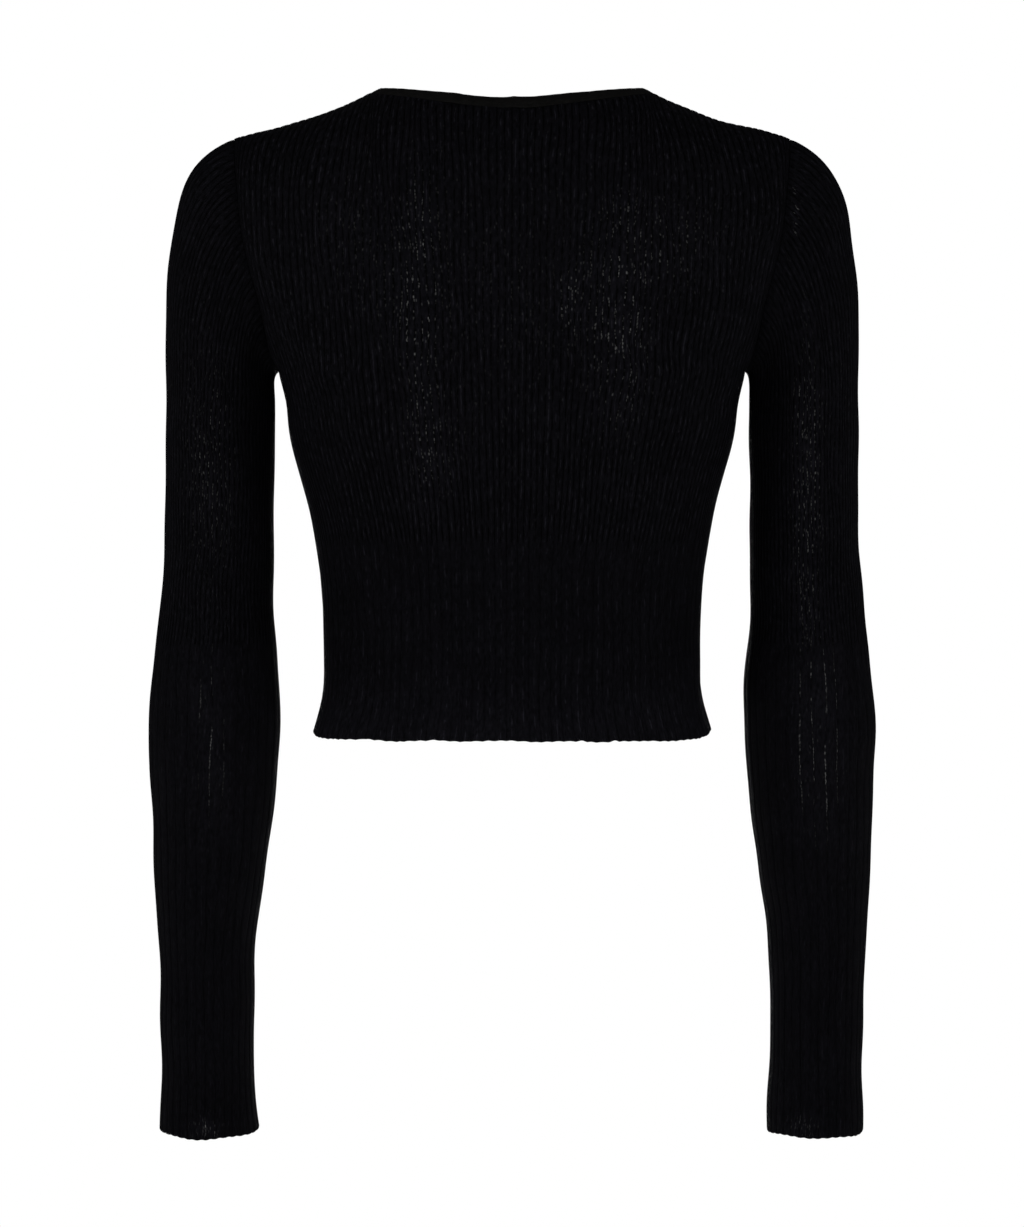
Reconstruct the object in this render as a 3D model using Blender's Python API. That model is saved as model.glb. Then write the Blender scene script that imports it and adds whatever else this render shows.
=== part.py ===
"""A cropped, close-fitting rib-knit cardigan, filled out as if worn, with no wearer in it.

Frame: metres, +Z up. The front faces -Y and the wearer's left is +X. The origin lies midway between
the two high shoulder points, level with the top of the neck trim, where the wearer's shoulders
carry the garment.

Every piece of cloth is a wall cut from one of two smooth forms. The torso form is a stack of rings
from hem to underarm, closed over the shoulders by a yoke. The sleeve form is a cap that grows out of
the armhole and a tube of rings down to the cuff.
"""

import math
from typing import NamedTuple

import bpy
import numpy as np
from mathutils import Matrix, Vector

# Cloth
KNIT = 0.0016  # wall of the ribbed knit
TRIM = 0.0024  # wall of the doubled neck trim
TRIM_PROUD = 0.0004  # the trim's face stands this far off the panels' face
SEAM = 0.0003  # gap between pieces
NECK_TRIM_WIDTH = 0.0065
BAND_WIDTH = 0.018  # button and buttonhole bands, one over the other at the centre front
LAP_STARTS = 0.045  # how far out the overlapping front begins to lift to the buttonhole band

# Heights below the high shoulder points
UNDERARM = -0.172
HEM = -0.392
BACK_NECK_DROP = 0.0069
FRONT_NECK_DROP = 0.095

# Shoulders and neck
NECK_HALF_WIDTH = 0.0796  # centre to high shoulder point
SHOULDER_HALF_WIDTH = 0.169  # centre to the end of the shoulder seam
RIDGE_DEPTH = 0.003  # how far behind the side seams the shoulder ridge runs
YOKE_TOP = 0.018  # where the yoke form would close over the neck
YOKE_SIDE = -0.0325  # height of the ridge where it leaves the yoke form

# Buttons
BUTTON_COUNT = 7
BUTTON_RADIUS = 0.0055
BUTTON_THICKNESS = 0.0024
BUTTON_RIM = 0.0009
FIRST_BUTTON_BELOW_TRIM = 0.010
LAST_BUTTON_ABOVE_HEM = 0.016
BUTTON_SIDES = 12
BUTTON_REACH = 0.03  # the rise, up or down from a button's middle, at which its edge is passed

PANEL_BELOW_NECK = NECK_TRIM_WIDTH + SEAM  # how far the panels stop below the neckline
NECK_SPREAD = 0.9  # how far a line below the neckline runs out along the shoulder, for each metre below

EVEN_TURN = 0.075  # evens out the spacing of points round a ring that is wider than it is deep

# Working precision
TRACE = 400  # points along a curve that is traced to be measured
TURN_STEP = 1e-3  # step in turn and rise to each side, to find a direction
HEIGHT_STEP = 0.002  # step in height to each side, to find a sleeve's lean
SHARP = math.radians(40)  # edges that turn more than this stay sharp


class Ring(NamedTuple):
    """A level section of the torso. Fullness is its bulge past an ellipse between the axes."""

    height: float
    half_width: float
    back_depth: float
    front_depth: float
    fullness: float


TORSO_RINGS = (
    Ring(-0.392, 0.1208, 0.0860, 0.0800, 0.08),
    Ring(-0.386, 0.1192, 0.0848, 0.0796, 0.08),
    Ring(-0.372, 0.1159, 0.0825, 0.0788, 0.07),
    Ring(-0.345, 0.1144, 0.0805, 0.0785, 0.06),
    Ring(-0.317, 0.1150, 0.0820, 0.0800, 0.06),
    Ring(-0.290, 0.1174, 0.0855, 0.0850, 0.06),
    Ring(-0.262, 0.1220, 0.0905, 0.0945, 0.07),
    Ring(-0.235, 0.1290, 0.0950, 0.1060, 0.08),
    Ring(-0.207, 0.1354, 0.0980, 0.1130, 0.10),
    Ring(-0.189, 0.1375, 0.0990, 0.1140, 0.11),
    Ring(-0.172, 0.1410, 0.0990, 0.1130, 0.12),
)


class YokeRow(NamedTuple):
    """A row of the yoke, from rise 0 at the underarm ring to rise 1 at the shoulder ridge."""

    rise: float
    half_width: float


YOKE_ROWS = (
    YokeRow(0.00, 0.1410),
    YokeRow(0.10, 0.1520),
    YokeRow(0.18, 0.1575),
    YokeRow(0.36, 0.1675),
    YokeRow(0.60, 0.1725),
    YokeRow(1.00, 0.1748),
)


class RidgePoint(NamedTuple):
    """The shoulder ridge: how far out, as a share of the yoke's half width, and how high."""

    share: float
    height: float


SHOULDER_RIDGE = (
    RidgePoint(0.000, 0.0180),
    RidgePoint(0.200, 0.0148),
    RidgePoint(0.380, 0.0055),
    RidgePoint(0.456, 0.0000),
    RidgePoint(0.540, -0.0074),
    RidgePoint(0.690, -0.0177),
    RidgePoint(0.800, -0.0234),
    RidgePoint(0.894, -0.0270),
    RidgePoint(1.000, -0.0325),
)


class Swell(NamedTuple):
    """A soft rise on the torso form, given by its middle, its reach and its height."""

    out: float
    height: float
    reach_out: float
    reach_up: float
    rise: float


SHOULDER_BLADES = Swell(0.064, -0.140, 0.034, 0.070, 0.0030)
BUST = Swell(0.064, -0.203, 0.042, 0.046, 0.0060)


class Half(NamedTuple):
    """What differs between the back and the front of the yoke."""

    facing: int  # 1 towards +Y, -1 towards -Y
    upright: float  # how far the yoke carries on upwards before it leans over
    level: float  # how far it runs level into the shoulder ridge
    swell: Swell
    armhole_cut: float  # how far in from the side seam the armhole runs, in degrees of turn


BACK = Half(1, 1.75, 1.75, SHOULDER_BLADES, 23.0)
FRONT = Half(-1, 1.10, 1.20, BUST, 23.0)
ARMHOLE_CORNER = 0.20  # the rise over which the armhole turns from level to upright
ARMHOLE_CORNER_SHARE = 0.38  # the share of the armhole's length that this turn takes


class SleeveRing(NamedTuple):
    """A section across the sleeve, named by the height of its middle."""

    height: float
    out: float  # middle, sideways from the garment's centre
    back: float  # middle, backwards
    half_width: float
    half_depth: float


SLEEVE_RINGS = (
    SleeveRing(-0.190, 0.1779, -0.0020, 0.0331, 0.0420),
    SleeveRing(-0.230, 0.1780, -0.0020, 0.0331, 0.0405),
    SleeveRing(-0.262, 0.1782, -0.0022, 0.0332, 0.0392),
    SleeveRing(-0.290, 0.1792, -0.0025, 0.0335, 0.0386),
    SleeveRing(-0.317, 0.1801, -0.0030, 0.0345, 0.0386),
    SleeveRing(-0.345, 0.1810, -0.0042, 0.0373, 0.0398),
    SleeveRing(-0.372, 0.1818, -0.0068, 0.0396, 0.0410),
    SleeveRing(-0.395, 0.1824, -0.0100, 0.0400, 0.0408),
    SleeveRing(-0.415, 0.1830, -0.0134, 0.0391, 0.0398),
    SleeveRing(-0.445, 0.1842, -0.0186, 0.0368, 0.0376),
    SleeveRing(-0.476, 0.1858, -0.0240, 0.0342, 0.0354),
    SleeveRing(-0.506, 0.1876, -0.0290, 0.0316, 0.0334),
    SleeveRing(-0.537, 0.1882, -0.0338, 0.0292, 0.0318),
    SleeveRing(-0.567, 0.1883, -0.0378, 0.0287, 0.0312),
    SleeveRing(-0.598, 0.1883, -0.0412, 0.0287, 0.0312),
    SleeveRing(-0.624, 0.1882, -0.0436, 0.0295, 0.0318),
    SleeveRing(-0.639, 0.1881, -0.0448, 0.0300, 0.0321),
)

# How the sleeve cap leaves the armhole: the angle of its slope from straight down, at the shoulder and
# the underarm and halfway between them, and how far each slope carries, as a share of the distance
CAP_SLOPE_AT_ENDS = math.radians(72.0)
CAP_SLOPE_AT_SIDES = math.radians(36.0)
CAP_CARRY_AT_ARMHOLE = 0.85
CAP_CARRY_AT_RING = 1.40

# Facets
TORSO_ROWS = 11
NECK_COLUMNS = 8
SHOULDER_COLUMNS = 6
CAP_ROWS = 6
SLEEVE_ROWS = 20
SLEEVE_COLUMNS = 20
ARMHOLE_ROWS = SLEEVE_COLUMNS // 2  # the panels' edges and the sleeves' edges share their points


# ---------------------------------------------------------------- curves


def through(stations, values, at):
    """A smooth curve through the values: cubic spans whose slopes come from three points."""
    stations = np.asarray(stations, float)
    values = np.asarray(values, float)
    step = np.diff(stations)
    rate = np.diff(values) / step
    slope = np.empty_like(values)
    slope[1:-1] = (rate[:-1] * step[1:] + rate[1:] * step[:-1]) / (step[:-1] + step[1:])
    slope[0], slope[-1] = rate[0], rate[-1]
    at = np.asarray(at, float)
    span = np.clip(np.searchsorted(stations, at) - 1, 0, len(step) - 1)
    part = (at - stations[span]) / step[span]
    leave = slope[span] * step[span]
    arrive = slope[span + 1] * step[span]
    return (
        values[span] * (1 + 2 * part) * (1 - part) ** 2
        + leave * part * (1 - part) ** 2
        + values[span + 1] * part**2 * (3 - 2 * part)
        + arrive * part**2 * (part - 1)
    )


def column(table, name):
    """One named column of a table."""
    return [getattr(row, name) for row in table]


def ease(share):
    """A smooth step from 0 to 1."""
    share = np.clip(share, 0.0, 1.0)
    return share * share * (3 - 2 * share)


# ---------------------------------------------------------------- torso form


def ring_shape(turn, fullness):
    """How far out and how far back a ring reaches at a turn: 0 is the centre, a right angle the side."""
    angle = turn - EVEN_TURN * np.sin(2 * turn)
    bulge = 1 + fullness * np.sin(2 * angle) ** 2
    return np.sin(angle) * bulge, np.cos(angle) * bulge


def swelling(swell, out, height):
    """The height of a soft rise, which falls off as a bell curve in both directions."""
    across = ((np.abs(out) - swell.out) / swell.reach_out) ** 2
    along = ((height - swell.height) / swell.reach_up) ** 2
    return swell.rise * np.exp(-across - along)


def yoke_profile(half, above):
    """How much of its height the yoke has gained, and how much of its depth is left."""
    climb = above**2 * (3 - 2 * above) + half.upright * above * (1 - above) ** 2
    lean = (1 + 2 * above) * (1 - above) ** 2 + half.level * above**2 * (1 - above)
    return climb, lean


def torso_point(half, turn, rise):
    """A point on the torso form. Rise -1 is the hem, 0 the underarm ring, 1 the shoulder ridge."""
    turn, rise = np.broadcast_arrays(np.asarray(turn, float), np.asarray(rise, float))
    below = np.minimum(rise, 0.0)
    above = np.clip(rise, 0.0, 1.0)
    ring = UNDERARM + below * (UNDERARM - HEM)

    heights = column(TORSO_RINGS, "height")
    depth_name = "back_depth" if half.facing > 0 else "front_depth"
    depth = through(heights, column(TORSO_RINGS, depth_name), ring)
    fullness = through(heights, column(TORSO_RINGS, "fullness"), ring)
    torso_width = through(heights, column(TORSO_RINGS, "half_width"), ring)
    yoke_width = through(column(YOKE_ROWS, "rise"), column(YOKE_ROWS, "half_width"), above)
    half_width = np.where(rise < 0, torso_width, yoke_width)

    climb, lean = yoke_profile(half, above)
    share_out, share_back = ring_shape(turn, fullness)
    ridge = through(column(SHOULDER_RIDGE, "share"), column(SHOULDER_RIDGE, "height"), np.abs(share_out))
    fallen = (YOKE_TOP - ridge) / (YOKE_TOP - YOKE_SIDE)
    centre_height = ring + (YOKE_TOP - UNDERARM) * climb
    side_height = ring + (YOKE_SIDE - UNDERARM) * np.sin(np.radians(90.0) * above)

    out = half_width * share_out
    height = centre_height + (side_height - centre_height) * fallen
    reach = (depth - half.facing * RIDGE_DEPTH * above) * lean + swelling(half.swell, out, height)
    back = RIDGE_DEPTH * above + half.facing * reach * share_back
    return np.stack([out, back, height], axis=-1)


def torso_normal(half, turn, rise):
    """The outward direction of the torso form, from small steps along it."""
    along = torso_point(half, turn + TURN_STEP, rise) - torso_point(half, turn - TURN_STEP, rise)
    above = torso_point(half, turn, np.minimum(rise + TURN_STEP, 1.0))
    up = above - torso_point(half, turn, rise - TURN_STEP)
    normal = np.cross(along, up) * -half.facing
    return normal / np.linalg.norm(normal, axis=-1, keepdims=True)


def on_seam(turn, rise):
    """Whether a point lies where front and back meet: on the side seam or on the shoulder ridge."""
    return np.isclose(turn, np.radians(90.0)) | np.isclose(rise, 1.0)


def seam_normal(half, turn, rise):
    """The outward direction, made the same for front and back where they meet."""
    normal = torso_normal(half, turn, rise)
    normal[..., 1] = np.where(on_seam(turn, rise), 0.0, normal[..., 1])
    return normal / np.linalg.norm(normal, axis=-1, keepdims=True)


def seam_gap(half, turn, rise):
    """The half gap by which a panel's edge stands back from the other half's edge."""
    shift = np.zeros(np.shape(turn) + (3,))
    shift[..., 1] = np.where(on_seam(turn, rise), half.facing * SEAM / 2, 0.0)
    return shift


def turn_at(half, out, rise):
    """The turn at which the torso form is that far out."""
    turns = np.linspace(0.0, np.radians(90.0), TRACE)
    return np.array([np.interp(out, torso_point(half, turns, r)[:, 0], turns) for r in np.ravel(rise)])


def rise_at(half, height):
    """The rise at which the centre of the yoke reaches a height."""
    rises = np.linspace(0.0, 1.0, TRACE)
    return float(np.interp(height, torso_point(half, 0.0, rises)[:, 2], rises))


# ---------------------------------------------------------------- cutting lines on the torso form


def neck_line(half, angles, below_edge):
    """The neckline, or a line below it, as turns and rises. Angle 0 is the centre, 90 the ridge."""
    drop = BACK_NECK_DROP if half.facing > 0 else FRONT_NECK_DROP
    start = rise_at(half, -(drop + below_edge))
    widest = turn_at(half, NECK_HALF_WIDTH + below_edge * NECK_SPREAD, 1.0)[0]
    return widest * np.sin(angles), 1.0 - (1.0 - start) * np.cos(angles)


def neck_angle(half, out, below_edge):
    """The angle at which the neckline is that far out from the centre, near the centre."""
    angles = np.linspace(0.0, np.radians(90.0), TRACE)
    outs = torso_point(half, *neck_line(half, angles, below_edge))[:, 0]
    return float(np.interp(out, outs, angles))


def neck_angles(half, edge_out):
    """The angles of a panel's neckline, from its centre edge to the ridge."""
    return np.linspace(neck_angle(half, edge_out, PANEL_BELOW_NECK), np.radians(90.0), NECK_COLUMNS + 1)


def rows_at(half, out):
    """The rises of a torso panel's rows along a line that far out, hem to neckline."""
    top = neck_line(half, neck_angle(half, abs(out), PANEL_BELOW_NECK), PANEL_BELOW_NECK)[1]
    below = np.linspace(-1.0, 0.0, TORSO_ROWS + 1)
    return np.concatenate([below, np.linspace(0.0, top, ARMHOLE_ROWS + 1)[1:]])


def armhole_line(half, share):
    """The armhole as turns and rises: share 0 is the underarm point, 1 the end of the shoulder seam."""
    side = np.radians(90.0)
    end = turn_at(half, SHOULDER_HALF_WIDTH, 1.0)[0]
    corner = np.radians(90.0) * np.clip(share / ARMHOLE_CORNER_SHARE, 0.0, 1.0)
    climb = np.clip((share - ARMHOLE_CORNER_SHARE) / (1 - ARMHOLE_CORNER_SHARE), 0.0, 1.0)
    rise = ARMHOLE_CORNER * (1 - np.cos(corner)) + (1 - ARMHOLE_CORNER) * climb
    cut = np.radians(half.armhole_cut)
    inner = side - cut * np.sin(corner)
    return inner + (end - (side - cut)) * ease(climb), rise


def armhole_edge(half):
    """Turns and rises evenly spaced along one half of the armhole, from the underarm to the shoulder."""
    shares = np.linspace(0.0, 1.0, TRACE)
    path = torso_point(half, *armhole_line(half, shares))
    length = np.concatenate([[0], np.cumsum(np.linalg.norm(np.diff(path, axis=0), axis=1))])
    return armhole_line(half, np.interp(np.linspace(0.0, length[-1], ARMHOLE_ROWS + 1), length, shares))


def panel_grid(half, edge_out):
    """Turns and rises over one side of a torso panel, from its centre edge to its side and armhole."""
    neck = np.stack(neck_line(half, neck_angles(half, edge_out), PANEL_BELOW_NECK), 1)
    armhole = np.stack(armhole_edge(half), 1)
    top = np.concatenate([neck, np.linspace(neck[-1], armhole[-1], SHOULDER_COLUMNS + 1)[1:]])
    rises = rows_at(half, edge_out)
    turns = turn_at(half, edge_out, rises) if edge_out else np.zeros(len(rises))
    centre = np.stack([turns, rises], 1)
    centre[-1] = top[0]
    side = np.stack([np.full(TORSO_ROWS, armhole[0, 0]), rises[:TORSO_ROWS]], 1)
    side = np.concatenate([side, armhole])

    # Rows run straight from the centre edge to the side, and bend to the top edge's shape above the underarm.
    across = ((top[:, 0] - top[0, 0]) / (top[-1, 0] - top[0, 0]))[None, :, None]
    rows = centre[:, None] + (side - centre)[:, None] * across
    bend = ease(np.arange(-TORSO_ROWS, ARMHOLE_ROWS + 1) / ARMHOLE_ROWS)
    rows += bend[:, None, None] * (top - rows[-1])
    return rows[..., 0], rows[..., 1]


# ---------------------------------------------------------------- sleeve form


def sleeve_ring(height, turn):
    """A ring of the sleeve at a height of its middle. Turn 0 faces the body, a right angle the back."""
    heights = column(SLEEVE_RINGS, "height")[::-1]

    def read(name, at):
        return through(heights, column(SLEEVE_RINGS, name)[::-1], at)

    swing = (read("back", height - HEIGHT_STEP) - read("back", height + HEIGHT_STEP)) / (2 * HEIGHT_STEP)
    lean = np.arctan(swing)
    width = -read("half_width", height) * np.cos(turn)
    depth = read("half_depth", height) * np.sin(turn)
    return np.stack(
        [
            read("out", height) + width,
            read("back", height) + depth * np.cos(lean),
            height + depth * np.sin(lean),
        ],
        axis=-1,
    )


def armhole_ring():
    """The armhole as a closed ring, up the back and down the front, and the way out of it, off the torso."""
    back, front = armhole_edge(BACK), armhole_edge(FRONT)
    ring = np.concatenate([torso_point(BACK, *back), torso_point(FRONT, *front)[-2:0:-1]])
    normal = np.concatenate([seam_normal(BACK, *back), seam_normal(FRONT, *front)[-2:0:-1]])
    along = np.roll(ring, -1, axis=0) - np.roll(ring, 1, axis=0)
    away = np.cross(normal, along)
    return ring, away / np.linalg.norm(away, axis=1, keepdims=True)


def sleeve_outline():
    """The sleeve's outer face as a grid: rows from armhole to cuff, columns round the arm."""
    turn = np.linspace(0.0, 2 * np.pi, SLEEVE_COLUMNS, endpoint=False)
    armhole, away = armhole_ring()
    heights = np.linspace(SLEEVE_RINGS[0].height, SLEEVE_RINGS[-1].height, SLEEVE_ROWS + 1)
    tube = sleeve_ring(heights[:, None], turn[None])
    first = tube[0]

    ends = np.cos(turn) ** 2
    slope = CAP_SLOPE_AT_SIDES + (CAP_SLOPE_AT_ENDS - CAP_SLOPE_AT_SIDES) * ends
    leave = np.stack([np.sin(slope), np.zeros(SLEEVE_COLUMNS), -np.cos(slope)], 1)
    distance = np.linalg.norm(first - armhole, axis=1, keepdims=True)
    armhole = armhole + away * SEAM
    part = np.linspace(0.0, 1.0, CAP_ROWS + 1)[:-1, None, None]
    cap = (
        armhole * (1 + 2 * part) * (1 - part) ** 2
        + leave * distance * CAP_CARRY_AT_ARMHOLE * part * (1 - part) ** 2
        + first * part**2 * (3 - 2 * part)
        + np.array([0.0, 0.0, -1.0]) * distance * CAP_CARRY_AT_RING * part**2 * (part - 1)
    )
    return np.concatenate([cap, tube])


def sleeve_normals(grid):
    """Outward directions over the sleeve, squared off along the seam where it meets the torso."""
    round_it = np.roll(grid, -1, axis=1) - np.roll(grid, 1, axis=1)
    normal = np.cross(round_it, np.gradient(grid, axis=0))
    normal /= np.linalg.norm(normal, axis=-1, keepdims=True)
    away = armhole_ring()[1]
    outwards = np.maximum(np.sum(normal[0] * away, axis=1, keepdims=True), 0.0)
    normal[0] -= outwards * away
    return normal / np.linalg.norm(normal, axis=-1, keepdims=True)


# ---------------------------------------------------------------- making solids


def material(name, colour, roughness):
    """A plain finish."""
    made = bpy.data.materials.new(name)
    made.use_nodes = True
    shader = made.node_tree.nodes["Principled BSDF"]
    shader.inputs["Base Color"].default_value = (*colour, 1.0)
    shader.inputs["Roughness"].default_value = roughness
    shader.inputs["Metallic"].default_value = 0.0
    return made


def wall(name, outer, inner, finish, closes):
    """A closed wall between two grids of points. Closes says that the columns run all the way round."""
    rows, columns = outer.shape[:2]
    points = np.concatenate([outer.reshape(-1, 3), inner.reshape(-1, 3)])
    index = np.arange(rows * columns).reshape(rows, columns)
    if closes:
        index = np.concatenate([index, index[:, :1]], axis=1)
    back = index + rows * columns

    def between(a, b):
        """Quads from one line of points to the next."""
        return np.stack([a[:-1], a[1:], b[1:], b[:-1]], axis=-1).reshape(-1, 4)

    faces = [between(index[r], index[r + 1]) for r in range(rows - 1)]
    faces += [between(back[r + 1], back[r]) for r in range(rows - 1)]
    faces += [between(back[0], index[0]), between(index[-1], back[-1])]
    if not closes:
        faces += [between(index[:, 0], back[:, 0]), between(back[:, -1], index[:, -1])]
    return solid(name, points, np.concatenate(faces), finish)


def solid(name, points, faces, finish):
    """A smooth-shaded object from points and faces, turned the right way out."""
    mesh = bpy.data.meshes.new(name)
    mesh.from_pydata(points.tolist(), [], faces.tolist())
    mesh.update()
    corners = points[faces[:, :3]]
    if np.einsum("ij,ij->i", corners[:, 0], np.cross(corners[:, 1], corners[:, 2])).sum() < 0:
        mesh.flip_normals()
    mesh.shade_smooth()
    mesh.set_sharp_from_angle(angle=SHARP)
    mesh.materials.append(finish)
    made = bpy.data.objects.new(name, mesh)
    bpy.context.scene.collection.objects.link(made)
    return made


def mirrored(grid):
    """The same grid on the other side of the centre line, its columns in reverse."""
    return (grid * np.array([-1.0, 1.0, 1.0]))[:, ::-1]


def lap(out):
    """How far the overlapping front stands off: nothing far out, a wall and a gap over the band."""
    return (KNIT + SEAM) * ease((LAP_STARTS - out) / (LAP_STARTS - BAND_WIDTH / 2))


def make_back(finish):
    """The back panel, hem to neck trim and shoulder seams, in one piece."""
    turn, rise = panel_grid(BACK, 0.0)
    outer = torso_point(BACK, turn, rise) + seam_gap(BACK, turn, rise)
    inner = outer - KNIT * seam_normal(BACK, turn, rise)
    outer, inner = (np.concatenate([mirrored(grid), grid[:, 1:]], axis=1) for grid in (outer, inner))
    return wall("back_panel", outer, inner, finish, closes=False)


def make_front(name, overlaps, finish):
    """One front panel. The wearer's right front laps over the left."""
    turn, rise = panel_grid(FRONT, BAND_WIDTH / 2 + SEAM)
    face = torso_point(FRONT, turn, rise) + seam_gap(FRONT, turn, rise)
    normal = seam_normal(FRONT, turn, rise)
    lift = lap(face[..., 0])[..., None] if overlaps else 0.0
    outer, inner = face + lift * normal, face + (lift - KNIT) * normal
    if overlaps:
        outer, inner = mirrored(outer), mirrored(inner)
    return wall(name, outer, inner, finish, closes=False)


def make_sleeve(name, side, finish):
    """One sleeve, armhole to cuff. Side is 1 for the wearer's left and -1 for the right."""
    outer = sleeve_outline()
    inner = outer - KNIT * sleeve_normals(outer)
    flip = np.array([side, 1.0, 1.0])
    return wall(name, outer * flip, inner * flip, finish, closes=True)


def trim_strip(half, angles):
    """Faces and normals of the neck trim on one half, its rows from lower edge to upper edge."""
    lower = np.stack(neck_line(half, angles, NECK_TRIM_WIDTH), 1)
    upper = np.stack(neck_line(half, angles, 0.0), 1)
    turn, rise = np.moveaxis(np.stack([lower, (lower + upper) / 2, upper]), -1, 0)
    return torso_point(half, turn, rise), seam_normal(half, turn, rise)


def make_neck_trim(finish):
    """The neck trim in one strip: from its under end at the centre front, round the back, to its over end."""
    end = neck_angle(FRONT, BAND_WIDTH / 2, NECK_TRIM_WIDTH)
    front = np.concatenate([[-end, 0.0], neck_angles(FRONT, BAND_WIDTH / 2 + SEAM)])
    back = neck_angles(BACK, 0.0)
    back = np.concatenate([back[::-1], -back[1:]])
    under_face, under_normal = trim_strip(FRONT, front)
    back_face, back_normal = trim_strip(BACK, back)
    over_face, over_normal = trim_strip(FRONT, -front[::-1])
    face = np.concatenate([under_face, back_face[:, 1:], over_face[:, 1:]], axis=1)
    normal = np.concatenate([under_normal, back_normal[:, 1:], over_normal[:, 1:]], axis=1)
    lift = np.zeros(face.shape[:2])
    lift[:, -len(front) :] = lap(-over_face[..., 0]) * (TRIM + SEAM) / (KNIT + SEAM)
    outer = face + (lift[..., None] + TRIM_PROUD) * normal
    return wall("neck_trim", outer, outer - TRIM * normal, finish, closes=False)


def make_band(name, lift, finish):
    """A front band, centred on the garment, hem to neck trim, standing off the form by its lift."""
    outs = (-BAND_WIDTH / 2, 0.0, BAND_WIDTH / 2)
    rises = np.stack([rows_at(FRONT, out) for out in outs], 1)
    turns = np.stack([np.sign(out) * turn_at(FRONT, abs(out), rise) for out, rise in zip(outs, rises.T)], 1)
    outer = torso_point(FRONT, turns, rises) + lift * torso_normal(FRONT, turns, rises)
    inner = outer - KNIT * torso_normal(FRONT, turns, rises)
    return wall(name, outer, inner, finish, closes=False)


def button_outline(finish):
    """Half the outline of a round button with a raised rim, from the middle of its face to its back."""
    floor = BUTTON_THICKNESS - BUTTON_RIM
    outline = (
        (0.0, 0.0, floor),
        (BUTTON_RADIUS * 0.62, 0.0, floor),
        (BUTTON_RADIUS * 0.74, 0.0, BUTTON_THICKNESS),
        (BUTTON_RADIUS * 0.93, 0.0, BUTTON_THICKNESS),
        (BUTTON_RADIUS, 0.0, BUTTON_THICKNESS * 0.45),
        (BUTTON_RADIUS * 0.80, 0.0, 0.0),
        (0.0, 0.0, 0.0),
    )
    mesh = bpy.data.meshes.new("button_outline")
    mesh.from_pydata(outline, [(point, point + 1) for point in range(len(outline) - 1)], [])
    mesh.materials.append(finish)
    return mesh


def make_button(name, height, outline):
    """A button turned from its outline, lying on the buttonhole band at a height."""
    rise = (height - UNDERARM) / (UNDERARM - HEM) if height < UNDERARM else rise_at(FRONT, height)
    face = torso_point(FRONT, 0.0, rise)
    normal = torso_normal(FRONT, np.array(0.0), np.array(rise))
    # The band bends under the button, so the button stands off by the depth of that bend as well.
    ends = [torso_point(FRONT, 0.0, rise + reach) for reach in (-BUTTON_REACH, BUTTON_REACH)]
    bend = max(0.0, *(float((end - face) @ normal) for end in ends))

    made = bpy.data.objects.new(name, outline)
    bpy.context.scene.collection.objects.link(made)
    turned = made.modifiers.new("turned", "SCREW")
    turned.axis = "Z"
    turned.angle = 2 * math.pi
    turned.steps = turned.render_steps = BUTTON_SIDES
    turned.use_merge_vertices = True
    turned.merge_threshold = 1e-5
    turned.use_smooth_shade = True
    across = Vector((1.0, 0.0, 0.0))
    axis = Vector(normal)
    made.rotation_euler = Matrix((across, axis.cross(across), axis)).transposed().to_euler()
    made.location = Vector(face) + (KNIT + 2 * SEAM + bend) * axis
    return made


def main():
    """Clears the scene and builds every piece."""
    for old in list(bpy.data.objects):
        bpy.data.objects.remove(old)
    knit = material("black_rib_knit", (0.004, 0.004, 0.0045), 0.75)
    outline = button_outline(material("black_button", (0.006, 0.006, 0.007), 0.35))

    make_back(knit)
    make_front("front_left", False, knit)
    make_front("front_right", True, knit)
    make_sleeve("sleeve_left", 1, knit)
    make_sleeve("sleeve_right", -1, knit)
    make_neck_trim(knit)
    make_band("button_band", 0.0, knit)
    make_band("buttonhole_band", KNIT + SEAM, knit)
    first = -(FRONT_NECK_DROP + NECK_TRIM_WIDTH + FIRST_BUTTON_BELOW_TRIM)
    last = HEM + LAST_BUTTON_ABOVE_HEM
    for number, height in enumerate(np.linspace(first, last, BUTTON_COUNT), start=1):
        make_button(f"button_{number}", float(height), outline)


main()
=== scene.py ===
"""The finished surfaces of a cropped, close-fitting cardigan in fine black rib knit.

The garment is filled out as if worn, with no wearer in it. Frame: metres, +Z up, the front faces -Y
and the wearer's left is +X. The origin lies midway between the high shoulder points.

Every piece of cloth lies on one of two smooth forms, a torso and a sleeve, and is knitted on it: fine
ribs run up the piece, and below a level line two fine ribs join into one wide rib. Each piece is a
closed shell whose edges roll in to its seams.
"""

import logging
import math
from dataclasses import dataclass, replace
from enum import Enum
from functools import reduce
from itertools import product

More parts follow.
